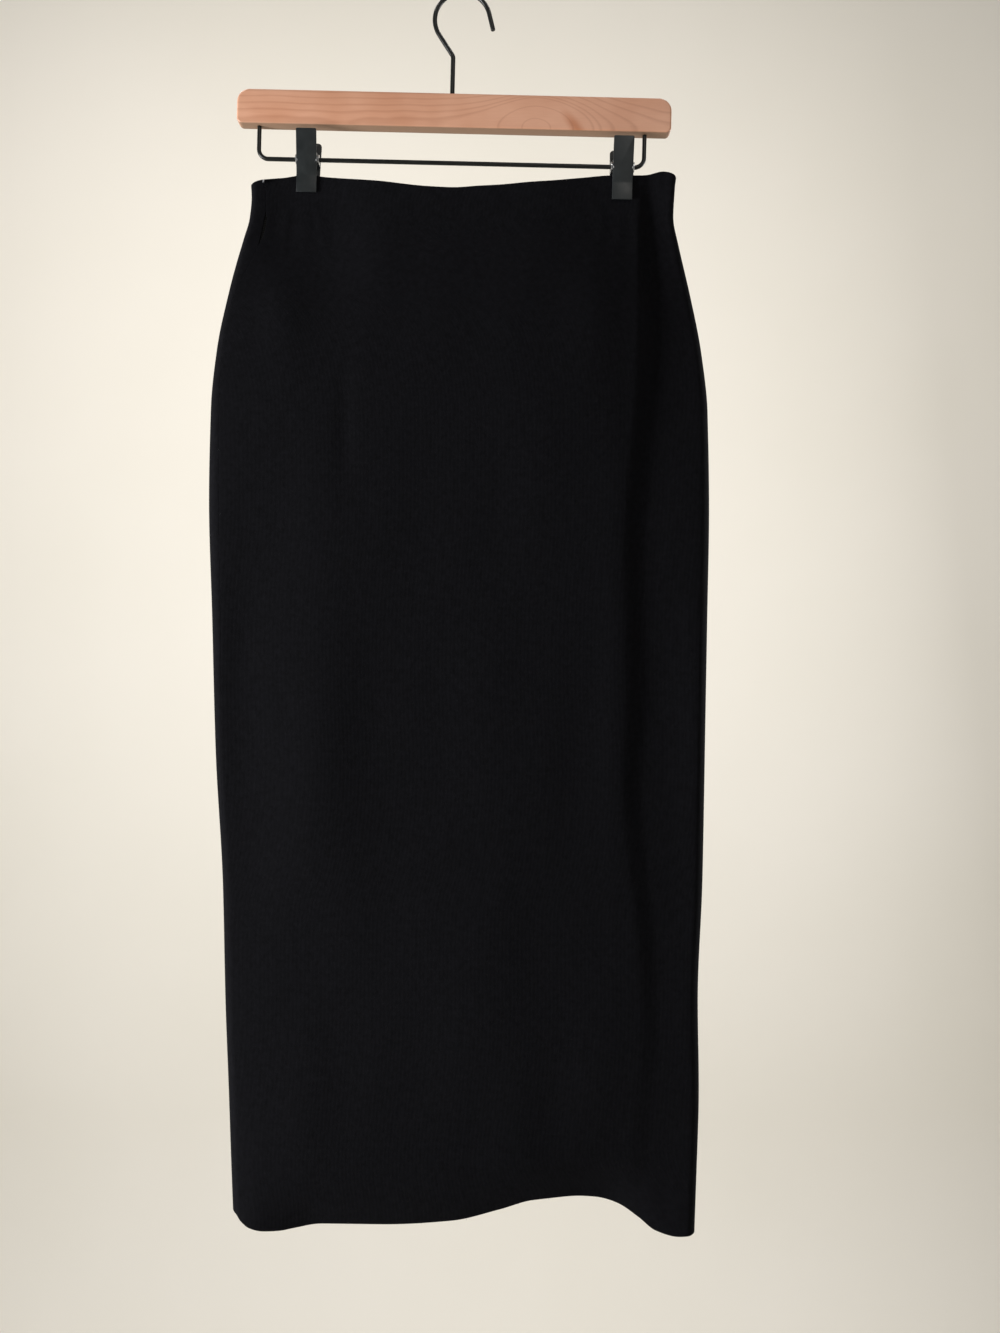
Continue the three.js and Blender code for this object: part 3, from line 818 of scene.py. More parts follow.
    # The main folds, as on the solids, and then the finer ones that only the cloth shows
    front_folds: tuple[Crease, ...] = table(
        Crease, (124, -230, -900, 12, 0.9), (-120, -350, -860, 38, 4.4),
        (-97, -290, -440, 7, -1.2), (20, -560, -980, 40, 1.8), (-202, -320, -800, 16, 2.8),
        (-150, -185, -330, 17, 1.9), (62, -200, -420, 26, 0.4, 0.05),
        (-30, -230, -520, 30, -0.5), (90, -520, -860, 16, -0.5),
        (-50, -620, -900, 24, 0.5, -0.04), (-128, -820, -1010, 16, 0.3),
        (70, -860, -1020, 20, -0.9), (197, -310, -1040, 18, 2.6),
    )
    back_folds: tuple[Crease, ...] = table(
        Crease, (-70, -260, -900, 14, -4.5), (-30, -330, -820, 20, 2.0),
        (95, -420, -990, 22, -3.0), (-150, -560, -940, 16, 2.2), (-46, -250, -520, 9, 0.9),
        (128, -320, -760, 13, 1.1), (40, -620, -1000, 24, 0.9, 0.05),
        (-104, -300, -620, 10, 0.7), (-172, -240, -480, 10, 0.7), (10, -210, -420, 18, -0.6),
    )
    # Small gathers where each clip draws the cloth together
    gathers: tuple[Crease, ...] = table(
        Crease, (-17, -160, -232, 3.6, 0.22, 0.10), (-9.5, -176, -214, 2.8, -0.16),
        (-2, -178, -226, 3.4, 0.2), (6, -177, -208, 2.6, -0.14),
        (13.5, -164, -240, 4.0, 0.24, -0.12), (23, -170, -224, 4.4, -0.18, -0.1),
        (-25, -166, -218, 4.2, -0.16, 0.12),
    )
    # Where the hem turns back, how far, and over how soft a stretch it starts and ends
    curl_top: float = -962.0
    curl_depth: float = 8.5
    curl_reach: Triple = (-150.0, 150.0, 30.0)
    # The back's unevenness is the front's, shifted by this much of its turn
    back_shift: float = 2.1

    def __post_init__(self) -> None:
        """Turn each table's columns into curves."""
        self.level_curves, self.trough_curves = curves(self.levels), curves(self.trough)
        self.seam_inset, self.seam_gape = curves(self.left_seam)
        self.waist_line, self.hem_line, self.swing_y = (
            curves(rows)[0] for rows in (self.waist_edge, self.hem_edge, self.hem_swing)
        )

    def pinch(self, x: Array, z: Array) -> Array:
        """Say how fully the clips press the two layers together, from 0 to 1."""
        near = [
            1 - ease(np.abs(x - grip.x), self.grip_half,
                     np.where(x < grip.x, grip.left, grip.right))
            for grip in self.grips
        ]
        return (1 - ease(z, *self.pinch_fade)) * np.maximum(*near)

    @staticmethod
    def folds_at(folds: Sequence[Crease], x: Array, z: Array) -> Array:
        """Add up a side's ridges and creases at each place."""
        total = np.zeros_like(x)
        for fold in folds:
            middle, half = (fold.top + fold.bottom) / 2, (fold.top - fold.bottom) / 2
            along = 1 - ease(np.abs(z - middle), 0.0, half)
            line = fold.x + fold.slant * (z - middle)
            total = total + fold.height * along * bell(x - line, fold.width)
        return total

    def gathers_at(self, x: Array, z: Array) -> Array:
        """Add up the small gathers round both clips."""
        return sum(self.folds_at(self.gathers, x - grip.x, z) for grip in self.grips)

    def trough_at(self, x: Array, z: Array) -> Array:
        """Give how far the long fold down the right sets both layers back."""
        along, depth, bank, lasts = (curve.at(z) for curve in self.trough_curves)
        offset = x - along
        step = ease(offset, -bank, bank) * bell(np.maximum(0.0, offset - bank), lasts)
        shoulder = self.shoulder * ease(offset, *self.shoulder_reach)
        turn = shoulder + self.cleft * bell(offset - 1, self.cleft_width)
        return depth * (step + ease(z, *self.clip_fold) * turn)

    def curl_at(self, x: Array, z: Array) -> Array:
        """Give how far the hem turns back."""
        start, end, soft = self.curl_reach
        down = np.maximum(0.0, (self.curl_top - z) / (self.curl_top - self.hem_z))
        across = ease(x, start - soft, start + soft) * (1 - ease(x, end - soft, end + soft))
        return self.curl_depth * down * down * across

    @staticmethod
    def ripple_at(x: Array, z: Array, turn: float) -> Array:
        """Give the slow unevenness that any hanging cloth has, a few tenths of a millimetre."""
        return (
            0.28 * np.sin(x / 17.0 + z / 160.0 + turn) * np.sin(z / 74.0 + x / 90.0)
            + 0.20 * np.sin(x / 9.5 - z / 120.0 + 1.3 + turn) * np.sin(z / 51.0 + 0.6)
            + 0.24 * np.sin(x / 31.0 + z / 43.0 + 2.2 - turn)
        )

    def section(self, station: Array, z: Array) -> Array:
        """Place points on the tube's section.

        Args:
            station: 0 at the left fold, 2 at the right fold past the front, and 4 at the
                left fold again past the back.
            z: each point's level.

        Returns:
            The points, one row each.
        """
        on_front = station <= 2
        w = np.where(on_front, station - 1, 3 - station)
        left, right, fold, front, back = (curve.at(z) for curve in self.level_curves)
        centre, half = (left + right) / 2, (right - left) / 2
        past = np.maximum(0.0, (np.abs(w) - self.arc_start) / (1 - self.arc_start))
        turn = past * (math.pi / 2)
        reach = np.where(
            turn > 0,
            half - fold + fold * np.sin(turn),
            (half - fold) * (np.abs(w) / self.arc_start),
        )
        x = centre + np.sign(w) * reach
        full = np.where(on_front, front, back)
        dome = np.sqrt(np.maximum(0.0, 1 - ((x - centre) / half) ** 2))
        relief = np.where(
            on_front,
            self.folds_at(self.front_folds, x, z) - self.curl_at(x, z)
            + self.ripple_at(x, z, 0.0),
            self.folds_at(self.back_folds, x, z) + self.ripple_at(x, z, self.back_shift),
        )
        free = np.cos(turn) * (fold + (full - fold) * dome + relief)
        held = np.cos(turn) * self.pinch_depth
        depth = free + (held - free) * self.pinch(x, z)
        depth = depth + np.cos(turn) * self.gathers_at(x, z) * ease(z, *self.gathers_from)
        swing = self.swing_y.at(x) * ease(z, self.swing_top, self.hem_z) + self.trough_at(x, z)
        return np.stack([x, swing + np.where(on_front, -depth, depth), z], axis=-1)

    def cloth(self, station: Array, z: Array, inset: Array | float) -> Array:
        """Place points on the cloth, drawn to its waist and hem edges.

        Args:
            station: each point's station round the tube.
            z: each point's level.
            inset: how far each point lies in from the outer face.

        Returns:
            The points, one row each, in millimetres.
        """
        step = 0.004
        point = self.section(station % 4, z)
        along = self.section((station + step) % 4, z) - self.section((station - step) % 4, z)
        inward = np.stack([-along[..., 1], along[..., 0], np.zeros_like(z)], axis=-1)
        inward /= np.linalg.norm(inward, axis=-1, keepdims=True)
        x = point[..., 0].copy()
        waist = self.waist_line.at(x) - self.waist_z
        hem = self.hem_line.at(x) - self.hem_z
        point[..., 2] += waist * (1 - ease(z, self.waist_z, self.waist_z - self.rim_reach))
        point[..., 2] += hem * (1 - ease(z, self.hem_z, self.hem_z + self.rim_reach))
        return point + inward * np.asarray(inset)[..., None]

    def station_at(self, sign: int, side: Side, inset: Array, z: Array) -> Array:
        """Find the station that lies a distance in from a side fold.

        Args:
            sign: -1 for the left fold, 1 for the right one.
            side: the side of the skirt that it lies on.
            inset: the distance in from the fold.
            z: each level.

        Returns:
            The station at each level.
        """
        left, right, fold = (curve.at(z) for curve in self.level_curves[:3])
        half = (right - left) / 2
        round_fold = self.arc_start + (1 - self.arc_start) * (
            np.arcsin(np.clip(1 - inset / fold, -1.0, 1.0)) / (math.pi / 2)
        )
        w = np.where(inset < fold, round_fold, self.arc_start * ((half - inset) / (half - fold)))
        return 1 + sign * w if side is Side.FRONT else 3 - sign * w


@dataclass
class ClothSheet:
    """A shell of cloth over a grid of stations and levels, its thickness inwards, in mm."""

    form: SkirtForm
    stations: Array
    levels: Array
    inset: Array | float
    wall: float
    rounding: float
    segments: int = 1

    def __post_init__(self) -> None:
        """Place the whole grid, [row][column], in millimetres."""
        z = np.broadcast_to(self.levels[:, None], self.stations.shape)
        inset = np.broadcast_to(np.asarray(self.inset, float), self.stations.shape)
        self.grid = self.form.cloth(self.stations, z, inset)

    def mesh(self) -> Mesh:
        """Make an open grid, front outwards, whose UV map is in metres of cloth."""
        rows, columns = self.stations.shape
        shape = bmesh.new()
        bmesh.ops.create_grid(shape, x_segments=columns - 1, y_segments=rows - 1, size=1.0)
        mesh = mesh_of(shape, recalculate=False)
        flat = np.empty(len(mesh.vertices) * 3)
        mesh.vertices.foreach_get("co", flat)
        flat = flat.reshape(-1, 3)
        column = np.rint((flat[:, 0] + 1) / 2 * (columns - 1)).astype(int)
        row = rows - 1 - np.rint((flat[:, 1] + 1) / 2 * (rows - 1)).astype(int)
        mesh.vertices.foreach_set("co", (self.grid[row, column] * MM).ravel())
        across = np.linalg.norm(np.diff(self.grid, axis=1), axis=-1)
        along = np.concatenate([np.zeros((rows, 1)), np.cumsum(across, axis=1)], axis=1)
        uv = np.stack([along, self.grid[..., 2]], axis=-1) * MM
        corners = np.empty(len(mesh.loops), int)
        mesh.loops.foreach_get("vertex_index", corners)
        layer = mesh.uv_layers.new(name="cloth")
        layer.data.foreach_set("uv", uv[row[corners], column[corners]].ravel())
        mesh.update()
        return mesh

    def hang(
        self, name: str, material: Material, nodes: Sequence[str],
    ) -> None:
        """Show the sheet as a piece of cloth, with its wall and soft edges.

        Args:
            name: the piece's name.
            material: its cloth.
            nodes: the CAD nodes that it stands for.
        """
        piece = show_piece(name, self.mesh(), material, nodes, sharp_from=None)
        shell = piece.modifiers.new("wall", "SOLIDIFY")
        shell.thickness, shell.offset = self.wall * MM, -1.0
        soften = piece.modifiers.new("soft edge", "BEVEL")
        soften.width, soften.segments = self.rounding * MM, self.segments
        soften.limit_method, soften.angle_limit = "ANGLE", math.radians(60)


@dataclass
class Skirt:
    """The skirt: front and back, their seam allowances, the side zip, and loose fibres."""

    form: SkirtForm
    rows: tuple[Band, ...] = table(
        Band, (-161, 6), (-175, 10), (-215, 20), (-300, 30), (-700, 84), (-950, 54),
        (-1010, 20), (-1018, 6),
    )
    front_bands: tuple[Band, ...] = table(
        Band, (-0.70, 22), (-0.52, 20), (0.50, 62), (0.60, 14), (0.82, 34), (0.86, 6),
        (1.0, 12),
    )
    back_bands: tuple[Band, ...] = table(
        Band, (-0.70, 20), (-0.52, 18), (0.50, 62), (0.72, 20), (0.86, 10), (1.0, 12),
    )
    edge_columns: tuple[float, ...] = (0.0, 0.7, 1.5, 2.4, 3.6)
    groove: float = 0.03
    groove_reach: float = 2.6
    allowance: float = 11.0
    zip_top: float = -158.0
    zip_bottom: float = -352.0
    tape_half: float = 6.5
    tape_inset: float = 2.6
    teeth: int = 118
    tooth: Triple = (3.0, 0.7, 0.95)
    slider_body: Triple = (4.6, 1.6, 6.4)
    slider_pull: Triple = (2.6, 0.7, 8.0)
    # Mesh stops down and across the seam allowances and the tape, and round each side fold
    allowance_stops: tuple[int, int] = (90, 6)
    tape_stops: tuple[int, int] = (70, 9)
    right_fold_stops: int = 15
    left_fold_stops: int = 9
    # The back's columns start at this station, past the right fold and its seam
    back_from: float = 2.16
    # The hem's fibre ends by their X, and the lint specks by X and Z
    fibre_ends: tuple[float, ...] = (-34, -12, 3, 19, 34, 46, 58, 71, 112, 166)
    lint: tuple[Edge, ...] = (Edge(-201.5, -383.6), Edge(-199.6, -436.8))
    fibre_radius: float = 0.09

    def seam_stations(self, z: Array, shift: float) -> Array:
        """Find the left seam's station, shifted towards the back (negative) or the front."""
        inset = self.form.seam_inset.at(z) + shift
        return self.form.station_at(-1, Side.FRONT, np.maximum(inset, 0.2), z)

    def right_stations(self, z: Array, shift: float) -> Array:
        """Find the right seam's station, shifted towards the front (negative) or the back."""
        inset = np.full_like(z, self.form.right_seam_inset + shift)
        return self.form.station_at(1, Side.BACK, inset, z)

    def front_stations(self, z: Array) -> Array:
        """Lay the front's columns from the left seam to the right one, round the right fold."""
        half_gape = self.form.seam_gape.at(z) / 2
        left = [self.seam_stations(z, half_gape + step) for step in self.edge_columns]
        first = left[-1]
        inner = spread(-1.0, self.front_bands)[1:] + 1
        count = self.front_bands[0].count
        reach = inner[count - 1]
        blend = [first + (reach - first) * t for t in inner[:count] / reach]
        across = [np.full_like(z, s) for s in inner[count:]]
        gap = self.form.seam_gap / 2
        right = [self.right_stations(z, -gap - step) for step in reversed(self.edge_columns)]
        shares = np.linspace(0, 1, self.right_fold_stops)[1:-1]
        round_fold = [2 + (right[0] - 2) * t for t in shares]
        return np.stack(left + blend + across + round_fold + right, axis=1)

    def back_stations(self, z: Array) -> Array:
        """Lay the back's columns from the right seam to the left one, round the left fold."""
        gap = self.form.seam_gap / 2
        right = [self.right_stations(z, gap + step) for step in self.edge_columns]
        stops = 3 - spread(-1.0, self.back_bands)[::-1]
        across = [np.full_like(z, s) for s in stops if s > self.back_from]
        half_gape = self.form.seam_gape.at(z) / 2
        left = [
            self.seam_stations(z, -half_gape - step * 0.5) + 4
            for step in reversed(self.edge_columns)
        ]
        shares = np.linspace(0, 1, self.left_fold_stops)[1:-1]
        round_fold = [4 + (left[0] - 4) * t for t in shares]
        return np.stack(right + across + round_fold + left, axis=1)

    def seam_groove(self, columns: int) -> Array:
        """Roll each side edge of a panel inwards, as a pressed seam draws it."""
        roll = self.groove * (1 - ease(np.array(self.edge_columns), 0.0, self.groove_reach))
        inset = np.zeros(columns)
        inset[: len(roll)] = roll
        inset[-len(roll):] = roll[::-1]
        return inset

    def panels(self, knit: Material) -> None:
        """Build the front and the back, which hang from the clips."""
        levels = spread(self.form.waist_z, self.rows)
        for name, lay in (("front", self.front_stations), ("back", self.back_stations)):
            stations = lay(levels)
            inset = self.seam_groove(stations.shape[1])
            sheet = ClothSheet(self.form, stations, levels, inset, self.form.wall, 0.1, 2)
            sheet.hang(f"{name}_cloth", knit, [f"{name}_panel"])

    def allowances(self, knit: Material) -> None:
        """Build the pressed-open seam allowances inside both side seams."""
        below_zip, below_waist = self.zip_bottom - 6, self.form.waist_z - 3
        inset = self.form.wall + 0.35
        down, across = self.allowance_stops
        runs = (
            ("left_front", self.seam_stations, below_zip, 1),
            ("left_back", self.seam_stations, below_zip, -1),
            ("right_front", self.right_stations, below_waist, -1),
            ("right_back", self.right_stations, below_waist, 1),
        )
        for name, seam, top, direction in runs:
            levels = np.linspace(top, self.form.hem_z + 1.5, down)
            steps = self.form.seam_gap / 2 + np.linspace(0.0, self.allowance, across)
            columns = [seam(levels, direction * step) for step in steps[::direction]]
            sheet = ClothSheet(self.form, np.stack(columns, axis=1), levels, inset, 1.0, 0.25)
            sheet.hang(f"allowance_{name}", knit, [])

    def zip(self, tape: Material, coil: Material) -> None:
        """Build the zip's two tapes and its coil behind the left seam."""
        down, across = self.tape_stops
        levels = np.linspace(self.zip_top, self.zip_bottom, down)
        offsets = np.linspace(-self.tape_half, self.tape_half, across)
        columns = [self.seam_stations(levels, offset) for offset in offsets]
        stations = np.stack(columns, axis=1)
        sheet = ClothSheet(self.form, stations, levels, self.tape_inset, 0.6, 0.15)
        sheet.hang("zip_tape", tape, ["side_zip"])
        shape = bmesh.new()
        for z in np.linspace(self.zip_top - 5, self.zip_bottom + 4, self.teeth):
            at, ahead = self.on_seam(float(z)), self.on_seam(float(z) - 2.0)
            made = add_block(shape, Vector(self.tooth) * MM, Vector(), 0.3 * MM)
            matrix = Matrix.Translation(at) @ turn_to(ahead - at, -UP)
            bmesh.ops.transform(shape, matrix=matrix, verts=made)
        show_piece("zip_coil", mesh_of(shape), coil)

    def on_seam(self, z: float) -> Vector:
        """Find the middle of the zip's tape at a level, in metres."""
        level = np.array([z])
        point = self.form.cloth(self.seam_stations(level, 0.0), level, self.tape_inset)[0]
        return Vector(point) * MM

    def slider(self, metal: Material) -> None:
        """Build the zip's slider at the top of the seam, with its short pull hanging inside."""
        low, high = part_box("zip_slider")
        centre = (low + high) / 2
        body = centre + Vector((0.2, 3.0, -2.6)) * MM
        pull = body + Vector((0.3, 1.5, -6.5)) * MM
        shape = bmesh.new()
        add_block(shape, high - low, centre, 0.35 * MM, 3)
        add_block(shape, Vector(self.slider_body) * MM, body, 0.6 * MM, 3)
        add_block(shape, Vector(self.slider_pull) * MM, pull, 0.3 * MM)
        show_piece("zip_slider_body", mesh_of(shape), metal, ["zip_slider"])

    def fibres(self, fibre: Material) -> None:
        """Leave a few short fibre ends along the raw hem, and lint specks by the left seam."""
        pick = random.Random(7)
        shape = bmesh.new()
        ends = [(x, pick.uniform(0.6, 2.6)) for x in self.fibre_ends]
        for x, length in ends:
            start = self.front_point(x, self.form.hem_z, 0.6)
            self.add_fibre(shape, start, Vector((pick.uniform(-0.5, 0.5), -0.25, -1)), length)
        for speck in self.lint:
            start = self.front_point(speck.x, speck.z, -0.3)
            self.add_fibre(shape, start, Vector((0.6, -0.2, 1)), 1.3)
        show_piece("loose_fibres", mesh_of(shape), fibre)

    def front_point(self, x: float, z: float, inset: float) -> Vector:
        """Find the point of the front's face at an X and a level, in metres."""
        level = np.array([float(z)])
        left = float(self.form.level_curves[0].at(level)[0])
        station = self.form.station_at(-1, Side.FRONT, np.array([x - left]), level)
        return Vector(self.form.cloth(station, level, inset)[0]) * MM

    def add_fibre(self, shape: BMesh, start: Vector, heading: Vector, length: float) -> None:
        """Add one fibre as a thin bent spike.

        Args:
            shape: the bmesh that takes it.
            start: its root, in metres.
            heading: the way it starts.
            length: its length, in millimetres.
        """
        ring = bmesh.ops.create_circle(
            shape, cap_ends=True, segments=5, radius=self.fibre_radius * MM
        )["verts"]
        bmesh.ops.transform(
            shape, matrix=Matrix.Translation(start) @ turn_to(heading), verts=ring
        )
        faces = once(f for v in ring for f in v.link_faces)
        for step in range(3):
            made = bmesh.ops.extrude_face_region(shape, geom=faces)["geom"]
            moved = only(BMVert, made)
            way = (heading + Vector((0.3, -0.1, 0)) * step).normalized()
            bmesh.ops.translate(shape, verts=moved, vec=way * (length * MM / 3))
            middle = sum((v.co for v in moved), Vector()) / len(moved)
            bmesh.ops.scale(
                shape, verts=moved, vec=(0.72,) * 3, space=Matrix.Translation(-middle)
            )
            faces = only(BMFace, made)

    def build(self, finishes: dict[str, Material], held_by: Sequence[str]) -> None:
        """Build every piece of the skirt."""
        self.panels(finishes["knit"])
        self.allowances(finishes["knit"])
        self.zip(finishes["tape"], finishes["coil"])
        self.slider(finishes["slider"])
        self.fibres(finishes["fibre"])


@dataclass
class ClipHanger:
    """The clip hanger: a wooden bar, a wire hook, a wire below it and two sprung clips."""

    bar_size: Triple = (361.4 * MM, 11 * MM, 28.8 * MM)
    bar_end: float = 10.4 * MM
    bar_end_low: float = 4.6 * MM
    bar_easing: float = 1.5 * MM
    bar_centre: float = -4.7 * MM
    bar_top: float = -85.3 * MM
    hook_wire: float = 1.9 * MM
    hook_bend: float = 23 * MM
    hook_tip_angle: float = math.radians(15)
    hook_tip: float = 14.7 * MM
    hook_throat_angle: float = math.radians(214)
    hook_throat: float = 19.8 * MM
    hook_neck: float = 6 * MM
    hook_rounding: float = 0.7 * MM
    stem_in_bar: float = 12 * MM
    rail_wire: float = 1.75 * MM
    rail_z: float = -141.1 * MM
    rail_left: float = -167.4 * MM
    rail_right: float = 154.5 * MM
    rail_bend: float = 8.0 * MM
    rail_in_bar: float = 8 * MM
    clip_places: tuple[tuple[str, float], ...] = (
        ("clip_left", -126.5 * MM), ("clip_right", 136.6 * MM),
    )
    clip_width: float = 16.9 * MM
    clip_bottom: float = -28.2 * MM
    clip_bend: float = -14.2 * MM
    bend_half: float = 2 * MM
    front_top: float = 21.4 * MM
    front_corner: float = 1.2 * MM
    back_top: float = 18.4 * MM
    back_corner: float = 3.4 * MM
    back_overlap: float = 1.5 * MM
    sheet: float = 1.2 * MM
    sheet_easing: float = 0.35 * MM
    jaw_gap: float = 2.25 * MM
    handle_gap: float = 9.2 * MM
    ear_radius: float = 4 * MM
    ear_sheet: float = 1 * MM
    ear_play: float = 0.3 * MM
    ear_lap: float = 0.4 * MM
    spring_wire: float = 0.75 * MM
    spring_radius: float = 2.85 * MM
    spring_turns: int = 6

    def show(
        self, name: str, mesh: Mesh, finish: Material, slot: Slot, nodes: Sequence[str] = ()
    ) -> None:
        """Show a piece, turned from the hanger's upright frame to its lean about the hook."""
        mesh.transform(Matrix.Rotation(HANGER_LEAN, 4, "Y"))
        show_piece(name, mesh, finish, nodes)

    def bar(self, wood: Material) -> None:
        """Build the wooden bar: a board with rounded corners and eased rims."""
        shape = bmesh.new()
        corners = {1: self.bar_end, -1: self.bar_end_low}
        add_board(shape, self.bar_size, corners, 12, self.bar_easing, 4)
        centre = Vector((self.bar_centre, 0, self.bar_top - self.bar_size[2] / 2))
        bmesh.ops.translate(shape, verts=shape.verts, vec=centre)
        self.show("wooden_bar", mesh_of(shape), wood, Slot.WOOD, ["hanger_bar"])

    def hook(self, wire: Material) -> None:
        """Bend the hook from its tip, over the top, down the throat and into the bar."""
        centre = Vector((0, 0, self.hook_wire - self.hook_bend))
        tip, throat = self.hook_tip_angle, self.hook_throat_angle
        start_of_bend = centre + self.hook_bend * Vector((math.cos(tip), 0, math.sin(tip)))
        heading = Vector((-math.sin(tip), 0, math.cos(tip)))
        hook = Outline.wire(start_of_bend - heading * self.hook_tip, heading, self.hook_wire)
        hook.straight(self.hook_tip).bend(centre, FORWARD, throat - tip, 44)
        hook.straight(self.hook_throat)
        lean = throat - math.pi
        neck = hook.at - self.hook_neck * Vector((math.cos(lean), 0, math.sin(lean)))
        hook.bend(neck, FORWARD, -lean, 10)
        hook.straight(hook.at.z - (self.bar_top - self.stem_in_bar))
        mesh = hook.close(self.hook_rounding)
        self.show("hook_wire", mesh, wire, Slot.WIRE, ["hanger_hook"])

    def rail(self, wire: Material) -> None:
        """Bend the wire that carries the clips, from the wood down, across and up again."""
        top = self.bar_top - self.bar_size[2] + self.rail_in_bar
        upright = top - self.rail_z - self.rail_bend
        rail = Outline.wire(Vector((self.rail_left, 0, top)), -UP, self.rail_wire)
        rail.straight(upright)
        rail.bend(rail.at + RIGHT * self.rail_bend, FORWARD, math.pi / 2, 12)
        rail.straight(self.rail_right - self.rail_left - 2 * self.rail_bend)
        rail.bend(rail.at + UP * self.rail_bend, FORWARD, math.pi / 2, 12)
        rail.straight(upright)
        self.show("clip_wire", rail.close(), wire, Slot.WIRE, ["wire_bar"])

    def plate_depth(self, z: float) -> float:
        """Give the middle of a plate's distance from the wire's plane, at a height above it."""
        rise = max(0.0, (z - self.clip_bend) / (self.front_top - self.clip_bend))
        return self.jaw_gap + (self.handle_gap - self.jaw_gap) * rise + self.sheet / 2

    def plate(self, side: Side) -> Mesh:
        """Build one plate round the wire: sheet metal, bent out above the jaws.

        Args:
            side: the front plate or the back one, which is wider.

        Returns:
            The plate, with the wire at the origin.
        """
        top, width, corner = self.front_top, self.clip_width, self.front_corner
        if side is Side.BACK:
            top, corner = self.back_top, self.back_corner
            width += 2 * self.back_overlap
        shape = bmesh.new()
        size = (width, self.sheet, top - self.clip_bottom)
        add_board(shape, size, {1: corner}, 6, self.sheet_easing, 3)
        middle = Vector((0, 0, (top + self.clip_bottom) / 2))
        bmesh.ops.translate(shape, verts=shape.verts, vec=middle)
        for step in np.linspace(-self.bend_half, self.bend_half, 5):
            bmesh.ops.bisect_plane(
                shape, geom=shape.verts[:] + shape.edges[:] + shape.faces[:],
                plane_co=UP * (self.clip_bend + float(step)), plane_no=UP,
            )
        for vert in shape.verts:
            vert.co.y += side.value * self.plate_depth(vert.co.z)
        return mesh_of(shape)

    def ears(self, side: Side) -> Mesh:
        """Build the two ears of a plate, which the wire goes through.

        Args:
            side: the front plate's ears, or the back one's, which go outside them.

        Returns:
            Both ears, with the wire at the origin.
        """
        shape = bmesh.new()
        outset = 0.0 if side is Side.FRONT else self.ear_sheet + self.ear_play
        place = self.clip_width / 2 - self.ear_sheet / 2 + outset
        reach, lap = self.plate_depth(0.0), self.ear_lap
        arm = Vector((self.ear_sheet, reach - self.ear_radius + 2 * lap, self.ear_radius * 1.8))
        for x in (-place, place):
            rims = [
                bmesh.ops.create_circle(shape, cap_ends=False, segments=28, radius=radius)
                for radius in (self.ear_radius, self.rail_wire + self.ear_play)
            ]
            edges = edges_of(v for rim in rims for v in rim["verts"])
            ring = bmesh.ops.bridge_loops(shape, edges=edges)["faces"]
            thick = bmesh.ops.solidify(shape, geom=ring, thickness=self.ear_sheet)["geom"]
            bored = [v for f in ring if f.is_valid for v in f.verts]
            verts = once(bored + only(BMVert, thick))
            turn = Matrix.Rotation(math.pi / 2, 3, "Y")
            bmesh.ops.rotate(shape, verts=verts, cent=(0, 0, 0), matrix=turn)
            middle = sum((v.co.x for v in verts)) / len(verts)
            bmesh.ops.translate(shape, verts=verts, vec=(x - middle, 0, 0))
            along = side.value * (self.ear_radius - lap + reach) / 2
            add_block(shape, arm, Vector((x, along, 0)), 0.15 * MM)
        return mesh_of(shape)

    def spring(self) -> Mesh:
        """Wind the spring round the wire between the ears."""
        half = self.clip_width / 2 - 2 * (self.ear_sheet + self.ear_play) - self.spring_wire
        start = Vector((-half, 0, self.spring_radius))
        coil = Outline.wire(start, -FORWARD, self.spring_wire, 10)
        turn = -2 * math.pi * self.spring_turns
        coil.bend(RIGHT * -half, RIGHT, turn, 20 * self.spring_turns, 2 * half)
        return coil.close()

    def clip(self, name: str, x: float, paint: Material, steel: Material) -> list[str]:
        """Build one clip on the wire.

        Args:
            name: the clip's name, as its CAD nodes start.
            x: where it sits along the wire.
            paint: the plates' paint.
            steel: the bare ears and spring.

        Returns:
            The names of its two plates.
        """
        parts: list[tuple[str, Mesh, Material, Slot, list[str]]] = []
        for side in Side:
            node = f"{name}_{side.name.lower()}"
            parts += [
                (f"{node}_plate", self.plate(side), paint, Slot.CLIP, [node]),
                (f"{node}_ears", self.ears(side), steel, Slot.SPRING, []),
            ]
        parts.append((f"{name}_coil", self.spring(), steel, Slot.SPRING, [f"{name}_spring"]))
        for part in parts:
            part[1].transform(Matrix.Translation((x, 0, self.rail_z)))
            self.show(*part)
        return [part[0] for part in parts if part[3] is Slot.CLIP]

    def build(self, finishes: dict[str, Material]) -> list[str]:
        """Build the whole hanger and name the plates that hold the skirt."""
        self.bar(finishes["wood"])
        self.hook(finishes["wire"])
        self.rail(finishes["wire"])
        plates: list[str] = []
        for name, x in self.clip_places:
            plates += self.clip(name, x, finishes["paint"], finishes["steel"])
        return plates


class Lamp(NamedTuple):
    """A square soft light: its place, what it points at, its side in metres, and its power."""

    name: str
    at: Triple
    aim: Triple
    size: float
    watts: float
    tint: str


